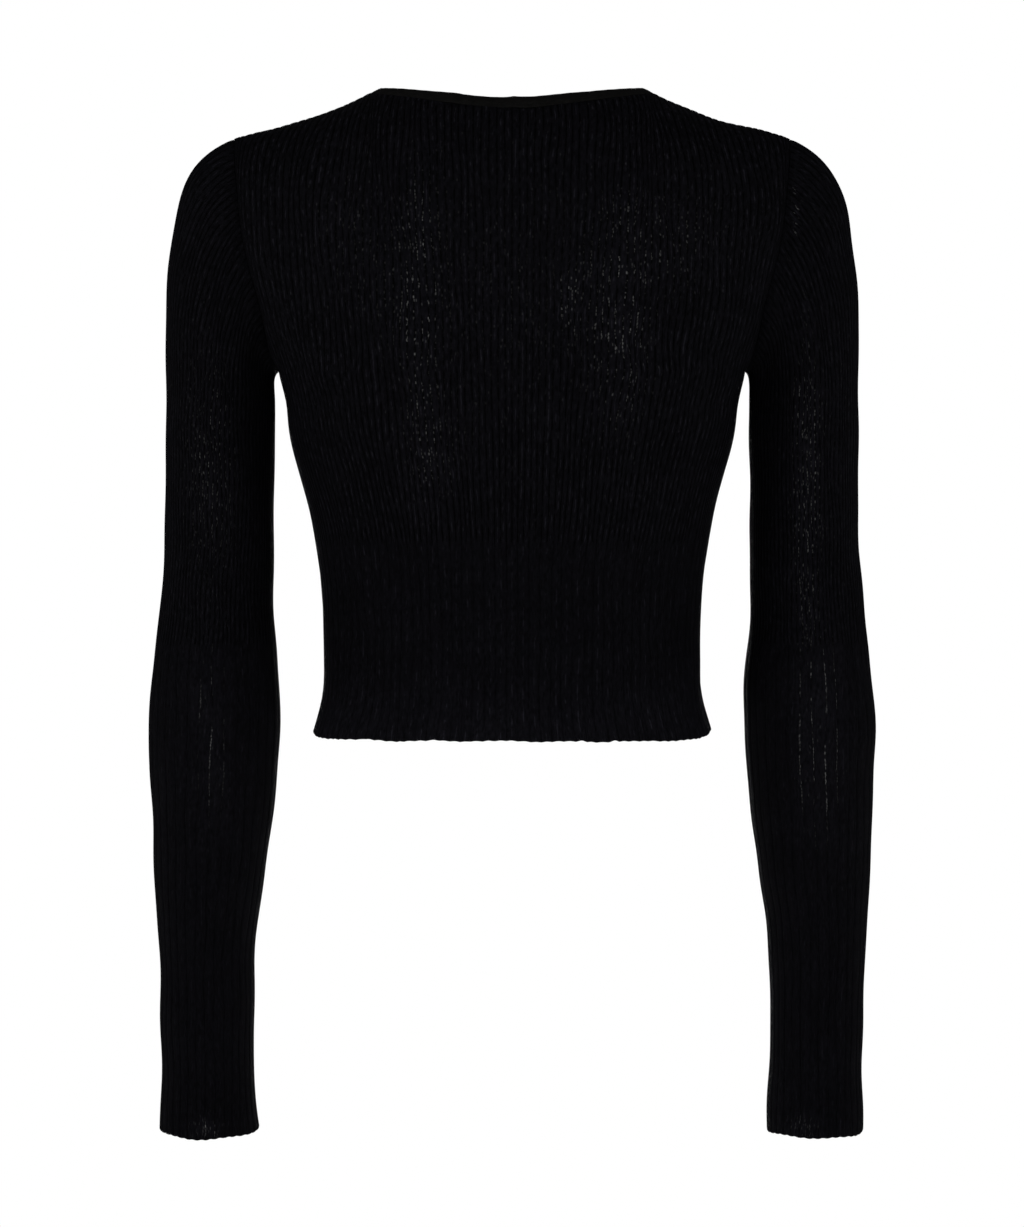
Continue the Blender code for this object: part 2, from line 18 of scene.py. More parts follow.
import bpy
import numpy as np
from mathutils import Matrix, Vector


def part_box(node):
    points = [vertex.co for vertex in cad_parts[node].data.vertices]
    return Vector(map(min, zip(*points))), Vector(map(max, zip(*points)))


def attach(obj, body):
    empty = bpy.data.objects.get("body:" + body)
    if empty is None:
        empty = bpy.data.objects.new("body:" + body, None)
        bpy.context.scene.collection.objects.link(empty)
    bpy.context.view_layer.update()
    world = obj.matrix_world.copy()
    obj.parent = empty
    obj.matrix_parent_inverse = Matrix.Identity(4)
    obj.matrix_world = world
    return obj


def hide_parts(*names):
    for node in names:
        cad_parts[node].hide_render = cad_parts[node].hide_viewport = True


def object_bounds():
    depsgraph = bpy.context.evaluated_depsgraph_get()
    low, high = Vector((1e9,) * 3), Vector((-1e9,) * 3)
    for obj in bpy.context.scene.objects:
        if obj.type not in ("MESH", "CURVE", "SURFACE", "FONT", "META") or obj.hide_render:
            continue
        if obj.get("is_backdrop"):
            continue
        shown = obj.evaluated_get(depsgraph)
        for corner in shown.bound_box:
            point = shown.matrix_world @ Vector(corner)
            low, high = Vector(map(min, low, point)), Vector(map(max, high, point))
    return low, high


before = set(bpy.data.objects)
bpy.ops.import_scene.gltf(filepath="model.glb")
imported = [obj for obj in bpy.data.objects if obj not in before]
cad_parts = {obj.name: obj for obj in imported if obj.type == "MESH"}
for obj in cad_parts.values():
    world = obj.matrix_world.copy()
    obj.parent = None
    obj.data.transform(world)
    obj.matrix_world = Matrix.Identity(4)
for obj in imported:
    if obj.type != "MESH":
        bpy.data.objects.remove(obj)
CAD_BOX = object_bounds()

Array = np.ndarray
LOG = logging.getLogger("cardigan")
Socket = bpy.types.NodeSocket
QUARTER = math.radians(90.0)
WALL_ROWS = 3  # rows of a cloth wall's outer face for each row of its inner face


# ------------------------------------------------------------------ sizes shared by the pieces


@dataclass(frozen=True)
class Cut:
    """The garment's driving sizes, in metres. Heights are below the high shoulder points."""

    wall: float = 0.0016  # the knit
    trim_wall: float = 0.0024  # the doubled neck trim
    trim_proud: float = 0.0004
    seam: float = 0.0003  # gap between pieces
    neck_trim_width: float = 0.0065
    band_width: float = 0.018
    lap_starts: float = 0.045  # how far out the overlapping front begins to lift
    underarm: float = -0.172
    hem: float = -0.392
    back_neck_drop: float = 0.0069
    front_neck_drop: float = 0.095
    neck_half_width: float = 0.0796
    shoulder_half_width: float = 0.169
    ridge_depth: float = 0.003  # how far behind the side seams the shoulder ridge runs
    yoke_top: float = 0.018  # where the yoke would close over the neck
    yoke_side: float = -0.0325  # where the ridge leaves the yoke
    neck_spread: float = 0.9  # how far a line below the neckline runs out, for each metre below
    even_turn: float = 0.075  # evens out the points round a ring wider than it is deep
    armhole_corner: float = 0.20  # the rise over which the armhole turns from level to upright
    armhole_corner_share: float = 0.38
    rib_fan: float = 0.12  # how much further apart the ribs spread from underarm to top
    armhole_strip: float = 0.05  # columns that pass the armhole crowd in this share of the width
    armhole_strip_least: float = 0.12  # the least width of a column there, as a share of an even one

    @property
    def panel_below_neck(self) -> float:
        """How far the panels stop below the neckline."""
        return self.neck_trim_width + self.seam

    def lap(self, out: Array) -> Array:
        """How far the overlapping front stands off: nothing far out, a wall and a gap at the band."""
        reach = self.lap_starts - self.band_width / 2
        return (self.wall + self.seam) * ease((self.lap_starts - out) / reach)


CUT = Cut()

# Torso rings: height, half width, depth behind, depth in front, fullness past an ellipse
TORSO_RINGS = np.array(
    [
        (-0.392, 0.1208, 0.0860, 0.0800, 0.08),
        (-0.386, 0.1192, 0.0848, 0.0796, 0.08),
        (-0.372, 0.1159, 0.0825, 0.0788, 0.07),
        (-0.345, 0.1144, 0.0805, 0.0785, 0.06),
        (-0.317, 0.1150, 0.0820, 0.0800, 0.06),
        (-0.290, 0.1174, 0.0855, 0.0850, 0.06),
        (-0.262, 0.1220, 0.0905, 0.0945, 0.07),
        (-0.235, 0.1290, 0.0950, 0.1060, 0.08),
        (-0.207, 0.1354, 0.0980, 0.1130, 0.10),
        (-0.189, 0.1375, 0.0990, 0.1140, 0.11),
        (-0.172, 0.1410, 0.0990, 0.1130, 0.12),
    ]
).T

# Yoke rows: rise above the underarm, half width
YOKE_ROWS = np.array(
    [(0.00, 0.1410), (0.10, 0.1520), (0.18, 0.1575), (0.36, 0.1675), (0.60, 0.1725), (1.00, 0.1748)]
).T

# The shoulder ridge: share of the yoke's half width, height
SHOULDER_RIDGE = np.array(
    [
        (0.000, 0.0180),
        (0.200, 0.0148),
        (0.380, 0.0055),
        (0.456, 0.0000),
        (0.540, -0.0074),
        (0.690, -0.0177),
        (0.800, -0.0234),
        (0.894, -0.0270),
        (1.000, -0.0325),
    ]
).T

# Sleeve rings: height, out, back, half width, half depth
SLEEVE_RINGS = np.array(
    [
        (-0.190, 0.1779, -0.0020, 0.0331, 0.0420),
        (-0.230, 0.1780, -0.0020, 0.0331, 0.0405),
        (-0.262, 0.1782, -0.0022, 0.0332, 0.0392),
        (-0.290, 0.1792, -0.0025, 0.0335, 0.0386),
        (-0.317, 0.1801, -0.0030, 0.0345, 0.0386),
        (-0.345, 0.1810, -0.0042, 0.0373, 0.0398),
        (-0.372, 0.1818, -0.0068, 0.0396, 0.0410),
        (-0.395, 0.1824, -0.0100, 0.0400, 0.0408),
        (-0.415, 0.1830, -0.0134, 0.0391, 0.0398),
        (-0.445, 0.1842, -0.0186, 0.0368, 0.0376),
        (-0.476, 0.1858, -0.0240, 0.0342, 0.0354),
        (-0.506, 0.1876, -0.0290, 0.0316, 0.0334),
        (-0.537, 0.1882, -0.0338, 0.0292, 0.0318),
        (-0.567, 0.1883, -0.0378, 0.0287, 0.0312),
        (-0.598, 0.1883, -0.0412, 0.0287, 0.0312),
        (-0.624, 0.1882, -0.0436, 0.0295, 0.0318),
        (-0.639, 0.1881, -0.0448, 0.0300, 0.0321),
    ]
)[::-1].T


# ------------------------------------------------------------------ curves


def cubic(first: Array, leave: Array, arrive: Array, last: Array, part: Array) -> Array:
    """A cubic span from first to last, over parts from 0 to 1, with the slopes at both its ends.

    Args:
        first: the value at 0.
        leave: the slope there.
        arrive: the slope at 1.
        last: the value at 1.
        part: where to read the span.

    Returns:
        The span's values.
    """
    return (
        first * (1 + 2 * part) * (1 - part) ** 2
        + leave * part * (1 - part) ** 2
        + last * part**2 * (3 - 2 * part)
        + arrive * part**2 * (part - 1)
    )


def through(stations: Array, values: Array, at: Array) -> Array:
    """A smooth curve through the values: cubic spans whose slopes come from three points.

    Args:
        stations: rising places of the values.
        values: one value for each station.
        at: where to read the curve.

    Returns:
        The curve's values, in the shape of at.
    """
    step = np.diff(stations)
    rate = np.diff(values) / step
    slope = np.empty_like(values)
    slope[1:-1] = (rate[:-1] * step[1:] + rate[1:] * step[:-1]) / (step[:-1] + step[1:])
    slope[0], slope[-1] = rate[0], rate[-1]
    at = np.asarray(at, float)
    span = np.clip(np.searchsorted(stations, at) - 1, 0, len(step) - 1)
    part = (at - stations[span]) / step[span]
    leave, arrive = slope[span] * step[span], slope[span + 1] * step[span]
    return cubic(values[span], leave, arrive, values[span + 1], part)


def ease(share: Array) -> Array:
    """A smooth step from 0 to 1: three times the square less twice the cube."""
    share = np.clip(share, 0.0, 1.0)
    return share * share * (3 - 2 * share)


def bell(distance: Array) -> Array:
    """A bell curve: 1 at nothing, and less with the square of the distance."""
    return np.exp(-(distance**2))


def unit(vectors: Array) -> Array:
    """The vectors, each made one long."""
    return vectors / np.linalg.norm(vectors, axis=-1, keepdims=True)


def lengths(points: Array, axis: int) -> Array:
    """How far each point lies from the first one, along the lines that run on an axis."""
    steps = np.linalg.norm(np.diff(points, axis=axis), axis=-1)
    return np.insert(np.cumsum(steps, axis=axis), 0, 0.0, axis=axis)


@dataclass(frozen=True)
class Uneven:
    """Slow unevenness of about a size up and down: a sum of sine waves in seeded directions."""

    size: float
    across: float  # its length along the first coordinate
    along: float = 1.0
    seed: int = 0
    waves: int = 5

    def at(self, across: Array, along: Array | float = 0.0, more: int = 0) -> Array:
        """The unevenness at each place.

        Args:
            across: first coordinate.
            along: second coordinate.
            more: is added to the seed.

        Returns:
            The sum of the waves, whose paces and shifts are drawn from the seed.
        """
        draw = np.random.default_rng(self.seed + more)
        across, along = across / self.across, along / self.along
        total = np.zeros(np.broadcast(across, along).shape)
        for _ in range(self.waves):
            way = draw.uniform(0, 2 * np.pi)
            pace = draw.uniform(0.6, 1.6)
            shift = draw.uniform(0, 2 * np.pi)
            total += np.sin(2 * np.pi * pace * (across * math.cos(way) + along * math.sin(way)) + shift)
        return self.size * total / math.sqrt(2.0 * self.waves)


@dataclass(frozen=True)
class Spot:
    """A soft spot on the garment: a bell curve outwards and upwards from its middle."""

    out: float
    height: float
    reach_out: float
    reach_up: float
    amount: float

    def at(self, out: Array, height: Array) -> Array:
        """The amount left at each place.

        Args:
            out: how far out each place lies.
            height: its height.

        Returns:
            The amounts.
        """
        across = ((out - self.out) / self.reach_out) ** 2
        along = ((height - self.height) / self.reach_up) ** 2
        return self.amount * np.exp(-across - along)


def spaced(*spans: tuple[float, float, float]) -> Array:
    """Points along a line, span by span, each span given by its start, its end and its step."""
    runs = [np.linspace(a, b, max(2, round((b - a) / step) + 1))[:-1] for a, b, step in spans]
    return np.concatenate([*runs, [spans[-1][1]]])


def edged(length: float, step: float, *margins: tuple[float, float]) -> Array:
    """Points along a line, closer towards both ends.

    Args:
        length: the line's length.
        step: the distance between points along its middle.
        margins: how far from each end a closer step reaches, and that step, from the end inwards.

    Returns:
        The points, from 0 to the length.
    """
    starts = [0.0, *(reach for reach, _ in margins)]
    near = [(start, reach, close) for start, (reach, close) in zip(starts, margins)]
    far = [(length - end, length - start, close) for start, end, close in reversed(near)]
    return spaced(*near, (starts[-1], length - starts[-1], step), *far)


def thirds(points: Array) -> Array:
    """The points with one or two more near the middle, so that the intervals make whole threes.

    Args:
        points: rising places.

    Returns:
        The places and the added ones.
    """
    while (len(points) - 1) % WALL_ROWS:
        middle = len(points) // 2
        points = np.insert(points, middle, (points[middle - 1] + points[middle]) / 2)
    return points


# ------------------------------------------------------------------ torso form


@dataclass(frozen=True)
class TorsoHalf:
    """The back or the front of the torso form, with the cutting lines on it."""

    facing: int  # 1 towards +Y, -1 towards -Y
    upright: float  # how far the yoke carries on upwards before it leans over
    level: float  # how far it runs level into the shoulder ridge
    swell: Spot  # a soft rise on each side
    neck_drop: float
    armhole_cut: float = 23.0  # degrees of turn that the armhole runs in from the side seam

    def point(self, turn: Array, rise: Array) -> Array:
        """A point on the form.

        Each level ring bulges past an ellipse between its axes. Above the underarm the ring's
        height and depth follow cubic curves over to the shoulder ridge.

        Args:
            turn: 0 at the centre, a right angle at the side.
            rise: -1 at the hem, 0 at the underarm ring, 1 on the shoulder ridge.

        Returns:
            Points, in a last axis of three.
        """
        turn, rise = np.broadcast_arrays(np.asarray(turn, float), np.asarray(rise, float))
        above = np.clip(rise, 0.0, 1.0)
        ring = CUT.underarm + np.minimum(rise, 0.0) * (CUT.underarm - CUT.hem)
        heights, widths, backs, fronts, fullnesses = TORSO_RINGS
        depth = through(heights, backs if self.facing > 0 else fronts, ring)
        fullness = through(heights, fullnesses, ring)
        half_width = np.where(rise < 0, through(heights, widths, ring), through(*YOKE_ROWS, above))

        climb = cubic(0.0, self.upright, 0.0, 1.0, above)
        lean = cubic(1.0, 0.0, -self.level, 0.0, above)
        angle = turn - CUT.even_turn * np.sin(2 * turn)
        bulge = 1 + fullness * np.sin(2 * angle) ** 2
        share_out, share_back = np.sin(angle) * bulge, np.cos(angle) * bulge
        ridge = through(*SHOULDER_RIDGE, np.abs(share_out))
        fallen = (CUT.yoke_top - ridge) / (CUT.yoke_top - CUT.yoke_side)
        centre_height = ring + (CUT.yoke_top - CUT.underarm) * climb
        side_height = ring + (CUT.yoke_side - CUT.underarm) * np.sin(QUARTER * above)

        out = half_width * share_out
        height = centre_height + (side_height - centre_height) * fallen
        reach = (depth - self.facing * CUT.ridge_depth * above) * lean
        reach = reach + self.swell.at(np.abs(out), height)
        back = CUT.ridge_depth * above + self.facing * reach * share_back
        return np.stack([out, back, height], axis=-1)

    def normal(self, turn: Array, rise: Array) -> Array:
        """The outward direction, from small steps, level with the seams where the halves meet.

        Args:
            turn: 0 at the centre, a right angle at the side.
            rise: -1 at the hem, 0 at the underarm ring, 1 on the shoulder ridge.

        Returns:
            Directions, in a last axis of three.
        """
        step = 1e-3
        turn, rise = np.broadcast_arrays(np.asarray(turn, float), np.asarray(rise, float))
        along = self.point(turn + step, rise) - self.point(turn - step, rise)
        up = self.point(turn, np.minimum(rise + step, 1.0)) - self.point(turn, rise - step)
        normal = unit(np.cross(along, up) * -self.facing)
        on_seam = np.isclose(np.abs(turn), QUARTER) | np.isclose(rise, 1.0)
        normal[..., 1] = np.where(on_seam, 0.0, normal[..., 1])
        return unit(normal)

    def turn_at(self, out: float, rise: Array) -> Array:
        """The turn at which the form is that far out, for each rise."""
        turns = np.linspace(0.0, QUARTER, 400)
        return np.array([np.interp(out, self.point(turns, r)[:, 0], turns) for r in np.ravel(rise)])

    def rise_at(self, height: float) -> float:
        """The rise at which the form's centre reaches a height.

        Args:
            height: below the high shoulder points.

        Returns:
            The rise, from -1 to 1.
        """
        if height < CUT.underarm:
            return (height - CUT.underarm) / (CUT.underarm - CUT.hem)
        rises = np.linspace(0.0, 1.0, 400)
        return float(np.interp(height, self.point(0.0, rises)[:, 2], rises))

    def neck_line(self, angles: Array, below: float) -> tuple[Array, Array]:
        """A line below the neckline, a quarter ellipse in turn and rise from centre to ridge.

        Args:
            angles: 0 at the centre, a right angle on the ridge.
            below: how far below the neckline.

        Returns:
            Turns and rises.
        """
        start = self.rise_at(-(self.neck_drop + below))
        widest = self.turn_at(CUT.neck_half_width + below * CUT.neck_spread, 1.0)[0]
        return widest * np.sin(angles), 1.0 - (1.0 - start) * np.cos(angles)

    def neck_angle(self, out: float, below: float) -> float:
        """The angle at which that line is that far out from the centre."""
        angles = np.linspace(0.0, QUARTER, 400)
        return float(np.interp(out, self.point(*self.neck_line(angles, below))[:, 0], angles))

    def armhole_line(self, share: Array) -> tuple[Array, Array]:
        """The armhole: share 0 is the underarm point, 1 the end of the shoulder seam.

        Args:
            share: how far along it, its corner first.

        Returns:
            Turns and rises.
        """
        end = self.turn_at(CUT.shoulder_half_width, 1.0)[0]
        corner = QUARTER * np.clip(share / CUT.armhole_corner_share, 0.0, 1.0)
        climb = np.clip((share - CUT.armhole_corner_share) / (1 - CUT.armhole_corner_share), 0.0, 1.0)
        rise = CUT.armhole_corner * (1 - np.cos(corner)) + (1 - CUT.armhole_corner) * climb
        cut = math.radians(self.armhole_cut)
        return QUARTER - cut * np.sin(corner) + (end - (QUARTER - cut)) * ease(climb), rise

    def armhole_at(self, parts: Array) -> tuple[Array, Array]:
        """The armhole by parts of its length, from the underarm to the shoulder.

        Args:
            parts: from 0 to 1.

        Returns:
            Turns and rises.
        """
        shares = np.linspace(0.0, 1.0, 400)
        path = self.point(*self.armhole_line(shares))
        length = lengths(path, 0)
        return self.armhole_line(np.interp(parts * length[-1], length, shares))

    def straight(self, edge_out: float, across: Array, up: Array) -> Array:
        """Columns evenly spaced round the body, that run straight on past the underarm.

        Above the underarm a column keeps its distance from the centre edge, measured level. Where
        the armhole has cut in, the columns far out would pass it, and they are drawn up in a
        narrow strip beside it instead.

        Args:
            edge_out: how far out the centre edge lies.
            across: 0 at the centre edge to 1 at the side, for each row and column.
            up: -1 at the hem, 0 at the underarm, 1 at the top edge, for each row.

        Returns:
            The new places across, still 0 to 1.
        """
        shares = np.linspace(0.0, 1.0, 200)
        above = np.append(0.0, up[up > 0])
        rows = self.point(*self.panel(edge_out, np.broadcast_to(shares, (len(above), 200)), above))
        round_it = lengths(rows[..., :2], 1)
        width = round_it[1:, -1]
        excess = round_it[0, -1] * (1.0 + CUT.rib_fan * ease(above[1:])) / width - 1.0
        excess = np.maximum(excess, 0.0)[:, None]
        even = across[up > 0] * (1.0 + excess)
        strip, least = CUT.armhole_strip, CUT.armhole_strip_least
        part = np.clip((even - 1.0 + strip) / (excess + strip), 0.0, 1.0)
        power = ((excess + strip) / strip - least) / (1.0 - least)
        drawn = 1.0 - strip * ((1 - least) * (1 - part) ** power + least * (1 - part))
        even = np.where(even < 1.0 - strip, even, drawn)
        placed = np.interp(across * round_it[0, -1], round_it[0], shares)
        placed[up > 0] = [np.interp(e * w, r, shares) for e, w, r in zip(even, width, round_it[1:])]
        return placed

    def panel(self, edge_out: float, across: Array, up: Array) -> tuple[Array, Array]:
        """Turn and rise over one side of a torso panel.

        Rows run straight from the centre edge to the side seam, and above the underarm they bend
        to the shape of the neckline and the shoulder seam.

        Args:
            edge_out: how far out the centre edge lies.
            across: 0 at the centre edge to 1 at the side, for each row and column.
            up: -1 at the hem, 0 at the underarm, 1 at the top edge, for each row.

        Returns:
            Turns and rises for each row and column.
        """
        below = CUT.panel_below_neck
        first = self.neck_angle(edge_out, below)
        (start_turn,), (start_rise,) = self.neck_line(np.array([first]), below)
        widest, _ = self.neck_line(QUARTER, below)
        end = self.armhole_line(np.array(1.0))[0]
        top_turn = start_turn + across * (end - start_turn)
        dip = np.cos(np.arcsin(np.clip(top_turn / widest, 0.0, 1.0)))
        centre_top = self.neck_line(0.0, below)[1]
        top = np.stack([top_turn, 1.0 - (1.0 - centre_top) * dip], -1)

        rise = np.where(up < 0, up, up * start_rise)
        turn = self.turn_at(edge_out, rise) if edge_out else np.zeros(len(rise))
        centre = np.stack([turn, rise], -1)[:, None]
        armhole = np.stack(self.armhole_at(np.maximum(up, 0.0)), -1)
        seam = np.stack([np.full(len(up), QUARTER), up], -1)
        side = np.where(up[:, None] < 0, seam, armhole)[:, None]
        share = across[..., None]
        last = centre[-1:] + (side[-1:] - centre[-1:]) * share
        rows = centre + (side - centre) * share + ease(up)[:, None, None] * (top - last)
        return rows[..., 0], rows[..., 1]


BACK = TorsoHalf(1, 1.75, 1.75, Spot(0.064, -0.140, 0.034, 0.070, 0.0030), CUT.back_neck_drop)
FRONT = TorsoHalf(-1, 1.10, 1.20, Spot(0.064, -0.203, 0.042, 0.046, 0.0060), CUT.front_neck_drop)


# ------------------------------------------------------------------ sleeve form


@dataclass(frozen=True)
class SleeveForm:
    """The wearer's left sleeve: a cap that grows out of the armhole, and a tube of rings."""

    slope_at_ends: float = math.radians(72.0)  # from straight down, at shoulder and underarm
    slope_at_sides: float = math.radians(36.0)
    carry_at_armhole: float = 0.85  # how far each slope carries, as a share of the distance
    carry_at_ring: float = 1.40

    def ring(self, height: Array, turn: Array) -> Array:
        """Points of an ellipse square to the arm's lean. Turn 0 faces the body, 90 degrees the back.

        Args:
            height: the height of the arm's middle.
            turn: where round the arm.

        Returns:
            Points, in a last axis of three.
        """
        heights, outs, backs, widths, depths = SLEEVE_RINGS
        step = 0.002
        swing = through(heights, backs, height - step) - through(heights, backs, height + step)
        lean = np.arctan(swing / (2 * step))
        width = -through(heights, widths, height) * np.cos(turn)
        depth = through(heights, depths, height) * np.sin(turn)
        return np.stack(
            [
                through(heights, outs, height) + width,
                through(heights, backs, height) + depth * np.cos(lean),
                height + depth * np.sin(lean),
            ],
            axis=-1,
        )

    def armhole(self, columns: int) -> tuple[Array, Array]:
        """The armhole as a closed ring, up the back and down the front, and the way off the torso.

        Args:
            columns: points round it.

        Returns:
            Points and directions.
        """
        parts = np.linspace(0.0, 1.0, columns // 2 + 1)
        back, front = BACK.armhole_at(parts), FRONT.armhole_at(parts)
        ring = np.concatenate([BACK.point(*back), FRONT.point(*front)[-2:0:-1]])
        normal = np.concatenate([BACK.normal(*back), FRONT.normal(*front)[-2:0:-1]])
        along = np.roll(ring, -1, axis=0) - np.roll(ring, 1, axis=0)
        return ring, unit(np.cross(normal, along))

    def surface(self, columns: int, cap_parts: Array, heights: Array) -> tuple[Array, Array]:
        """The smooth sleeve and its outward directions.

        Args:
            columns: points round the arm.
            cap_parts: rows of the cap, 0 at the armhole to 1 at the tube's first ring.
            heights: rows of the tube below its first ring.

        Returns:
            Points and directions, rows from armhole to cuff.
        """
        turn = np.linspace(0.0, 2 * np.pi, columns, endpoint=False)
        armhole, away = self.armhole(columns)
        first = self.ring(SLEEVE_RINGS[0, -1], turn)
        ends = np.cos(turn) ** 2
        slope = self.slope_at_sides + (self.slope_at_ends - self.slope_at_sides) * ends
        leave = np.stack([np.sin(slope), np.zeros(columns), -np.cos(slope)], 1)
        distance = np.linalg.norm(first - armhole, axis=1, keepdims=True)
        start = armhole + away * CUT.seam
        leave = leave * distance * self.carry_at_armhole
        arrive = np.array([0.0, 0.0, -1.0]) * distance * self.carry_at_ring
        cap = cubic(start, leave, arrive, first, cap_parts[:, None, None])
        grid = np.concatenate([cap, self.ring(heights[:, None], turn[None])])
        round_it = np.roll(grid, -1, axis=1) - np.roll(grid, 1, axis=1)
        normal = unit(np.cross(round_it, np.gradient(grid, axis=0)))
        # The first row is squared off along the seam, so that the wall meets the panels' walls.
        off = np.maximum(np.sum(normal[0] * away, axis=1, keepdims=True), 0.0)
        normal[0] = unit(normal[0] - off * away)
        return grid, normal


# ------------------------------------------------------------------ ribs, folds and stretch


@dataclass(frozen=True)
class Ribbing:
    """Ribs that run up a piece: fine ones, and below a level line wide ones, two fine ones wide."""

    change_height: float
    change_over: float = 0.004
    crest: float = 0.00022  # how far a crest stands past the form
    fine_depth: float = 0.00048
    wide_depth: float = 0.00052
    fine_round: float = 3.2  # power of the crest's curve
    wide_round: float = 4.6
    fine_in_wide: float = 2.0  # the width of a wide rib, in fine ribs
    channel: float = 0.10  # the fine ribs' furrows left on a wide rib, as a share of its depth
    channel_round: float = 6.0
    depths: Uneven = Uneven(0.28, 9.0, 0.05)  # in shares of the depth, over ribs and height
    changes: Uneven = Uneven(0.0012, 3.0)  # of the level where the ribs change
    shift: float = 0.0  # fine ribs from the first column to the edge of a wide rib
    seed: int = 1

    def relief(self, ribs: Array, height: Array) -> Array:
        """How far the knit stands off the form.

        Each rib's crest falls off with a power of the distance from its middle, which leaves a
        narrow furrow between two ribs. Depth varies slowly from place to place.

        Args:
            ribs: how many fine ribs from the first column.
            height: the height of each point.

        Returns:
            Distance past the form.
        """
        from_middle = np.abs(2 * np.mod(ribs, 1.0) - 1)
        from_wide = np.abs(2 * np.mod((ribs + self.shift) / self.fine_in_wide, 1.0) - 1)
        uneven = 1 + self.depths.at(ribs, height, self.seed)
        change = self.change_height + self.changes.at(ribs, 0.0, self.seed + 1)
        lower = ease((change - height) / self.change_over + 0.5)
        furrow = from_wide**self.wide_round + self.channel * from_middle**self.channel_round
        upper_depth = self.fine_depth * from_middle**self.fine_round * (1 - lower)
        lower_depth = self.wide_depth * furrow * lower
        return self.crest - (upper_depth + lower_depth) * uneven


@dataclass(frozen=True)
class Fold:
    """A soft crease along a line between two points, with a low roll beside it."""

    start: tuple[float, float, float]
    end: tuple[float, float, float]
    width: float
    depth: float
    roll: float = 0.55  # the roll's height, as a share of the depth
    roll_out: float = 1.9  # how far from the line it runs, in widths
    blunt: float = 0.04  # the share of the line at which its tapered ends stop
    taper: float = 0.6

    def at(self, points: Array) -> Array:
        """How far the fold pushes each point in: a bell curve of the distance to the line.

        Args:
            points: places on the form.

        Returns:
            Distances, below 0 inwards.
        """
        start, end = np.array(self.start), np.array(self.end)
        way = end - start
        share = np.clip(((points - start) @ way) / (way @ way), 0.0, 1.0)
        away = points - start - share[..., None] * way
        distance = np.linalg.norm(away, axis=-1) / self.width
        taper = np.sin(np.pi * np.clip(share, self.blunt, 1 - self.blunt)) ** self.taper
        return self.depth * taper * (self.roll * bell(distance - self.roll_out) - bell(distance))


# Spots of painted light, where glints and a lighter tone are painted on the knit: shoulder blades, armhole,
# arms, cuffs
PAINTED_LIGHT_SPOTS = (
    Spot(0.000, -0.130, 0.075, 0.110, 0.30),
    Spot(0.055, -0.140, 0.0090, 0.075, 0.62),
    Spot(0.066, -0.120, 0.026, 0.070, 0.22),
    Spot(-0.0335, -0.128, 0.005, 0.020, 0.80),
    Spot(-0.065, -0.145, 0.018, 0.070, 0.60),
    Spot(-0.080, -0.100, 0.030, 0.035, 0.24),
    Spot(-0.110, -0.092, 0.024, 0.036, 0.30),
    Spot(0.104, -0.094, 0.028, 0.050, 0.28),
    Spot(0.044, -0.225, 0.018, 0.030, 0.32),
    Spot(-0.171, -0.072, 0.0022, 0.018, 0.95),
    Spot(-0.1775, -0.245, 0.0070, 0.070, 1.00),
    Spot(0.181, -0.235, 0.014, 0.060, 0.40),
    Spot(0.1825, -0.395, 0.0110, 0.055, 0.62),
    Spot(-0.186, -0.395, 0.0150, 0.060, 0.90),
    Spot(0.185, -0.210, 0.035, 0.110, 0.25),
    Spot(-0.185, -0.210, 0.035, 0.110, 0.25),
    Spot(0.188, -0.636, 0.0100, 0.006, 1.60),
    Spot(-0.177, -0.636, 0.0110, 0.006, 1.60),
)


def painted_light_at(points: Array) -> Array:
    """How much painted light each point gets, from 0 to 1, and much less at the front.

    Args:
        points: places on the garment.

    Returns:
        The painted light at each.
    """
    out, back, height = np.moveaxis(points, -1, 0)
    behind = 0.15 + 0.85 * ease((back + 0.03) / 0.03)
    return np.clip(behind * sum(spot.at(out, height) for spot in PAINTED_LIGHT_SPOTS), 0.0, 1.0)


# ------------------------------------------------------------------ shells


def wrap(grid: Array) -> Array:
    """A grid with its first column again at its end, so that it closes."""
    return np.concatenate([grid, grid[:, :1]], axis=1)


def numbered(rows: int, columns: int, start: int = 0) -> Array:
    """The numbers of a grid's points."""
    return start + np.arange(rows * columns).reshape(rows, columns)


def between(first: Array, second: Array) -> Array:
    """Four-sided faces from lines of point numbers to the next ones."""
    corners = [first[..., :-1], first[..., 1:], second[..., 1:], second[..., :-1]]
    return np.stack(corners, axis=-1).reshape(-1, 4)


def made_of(name: str, points: Array, faces: list[list[int]]) -> bpy.types.Object:
    """A new smooth-shaded object from its points and its faces.

    Args:
        name: the object's name.
        points: a row of three for each point.
        faces: the point numbers of each face.

    Returns:
        The object, linked to the scene.
    """
    mesh = bpy.data.meshes.new(name)
    mesh.from_pydata(points.tolist(), [], faces)
    mesh.shade_smooth()
    made = bpy.data.objects.new(name, mesh)
    bpy.context.scene.collection.objects.link(made)
    return made


def roll_in(distance: Array, radius: float) -> Array:
    """How far a face draws back near an edge: the rest of a quarter circle of that radius."""
    share = 1.0 - np.clip(distance / radius, 0.0, 1.0)
    return radius * (1.0 - np.sqrt(1.0 - share**2))


def walls(
    base: Array, normal: Array, lift: Array, relief: Array, rounding: Array, thick: float = CUT.wall
) -> tuple[Array, Array]:
    """The outer and the inner face of a piece of cloth.

    Args:
        base: points on the form.
        normal: its outward directions.
        lift: how far the whole wall stands off the form.
        relief: how far only the outer face does.
        rounding: how far both faces draw back from each other's side.
        thick: the wall's thickness.

    Returns:
        Points of both faces.
    """
    outer = base + (lift + relief - rounding)[..., None] * normal
    return outer, base + (lift + rounding - thick)[..., None] * normal


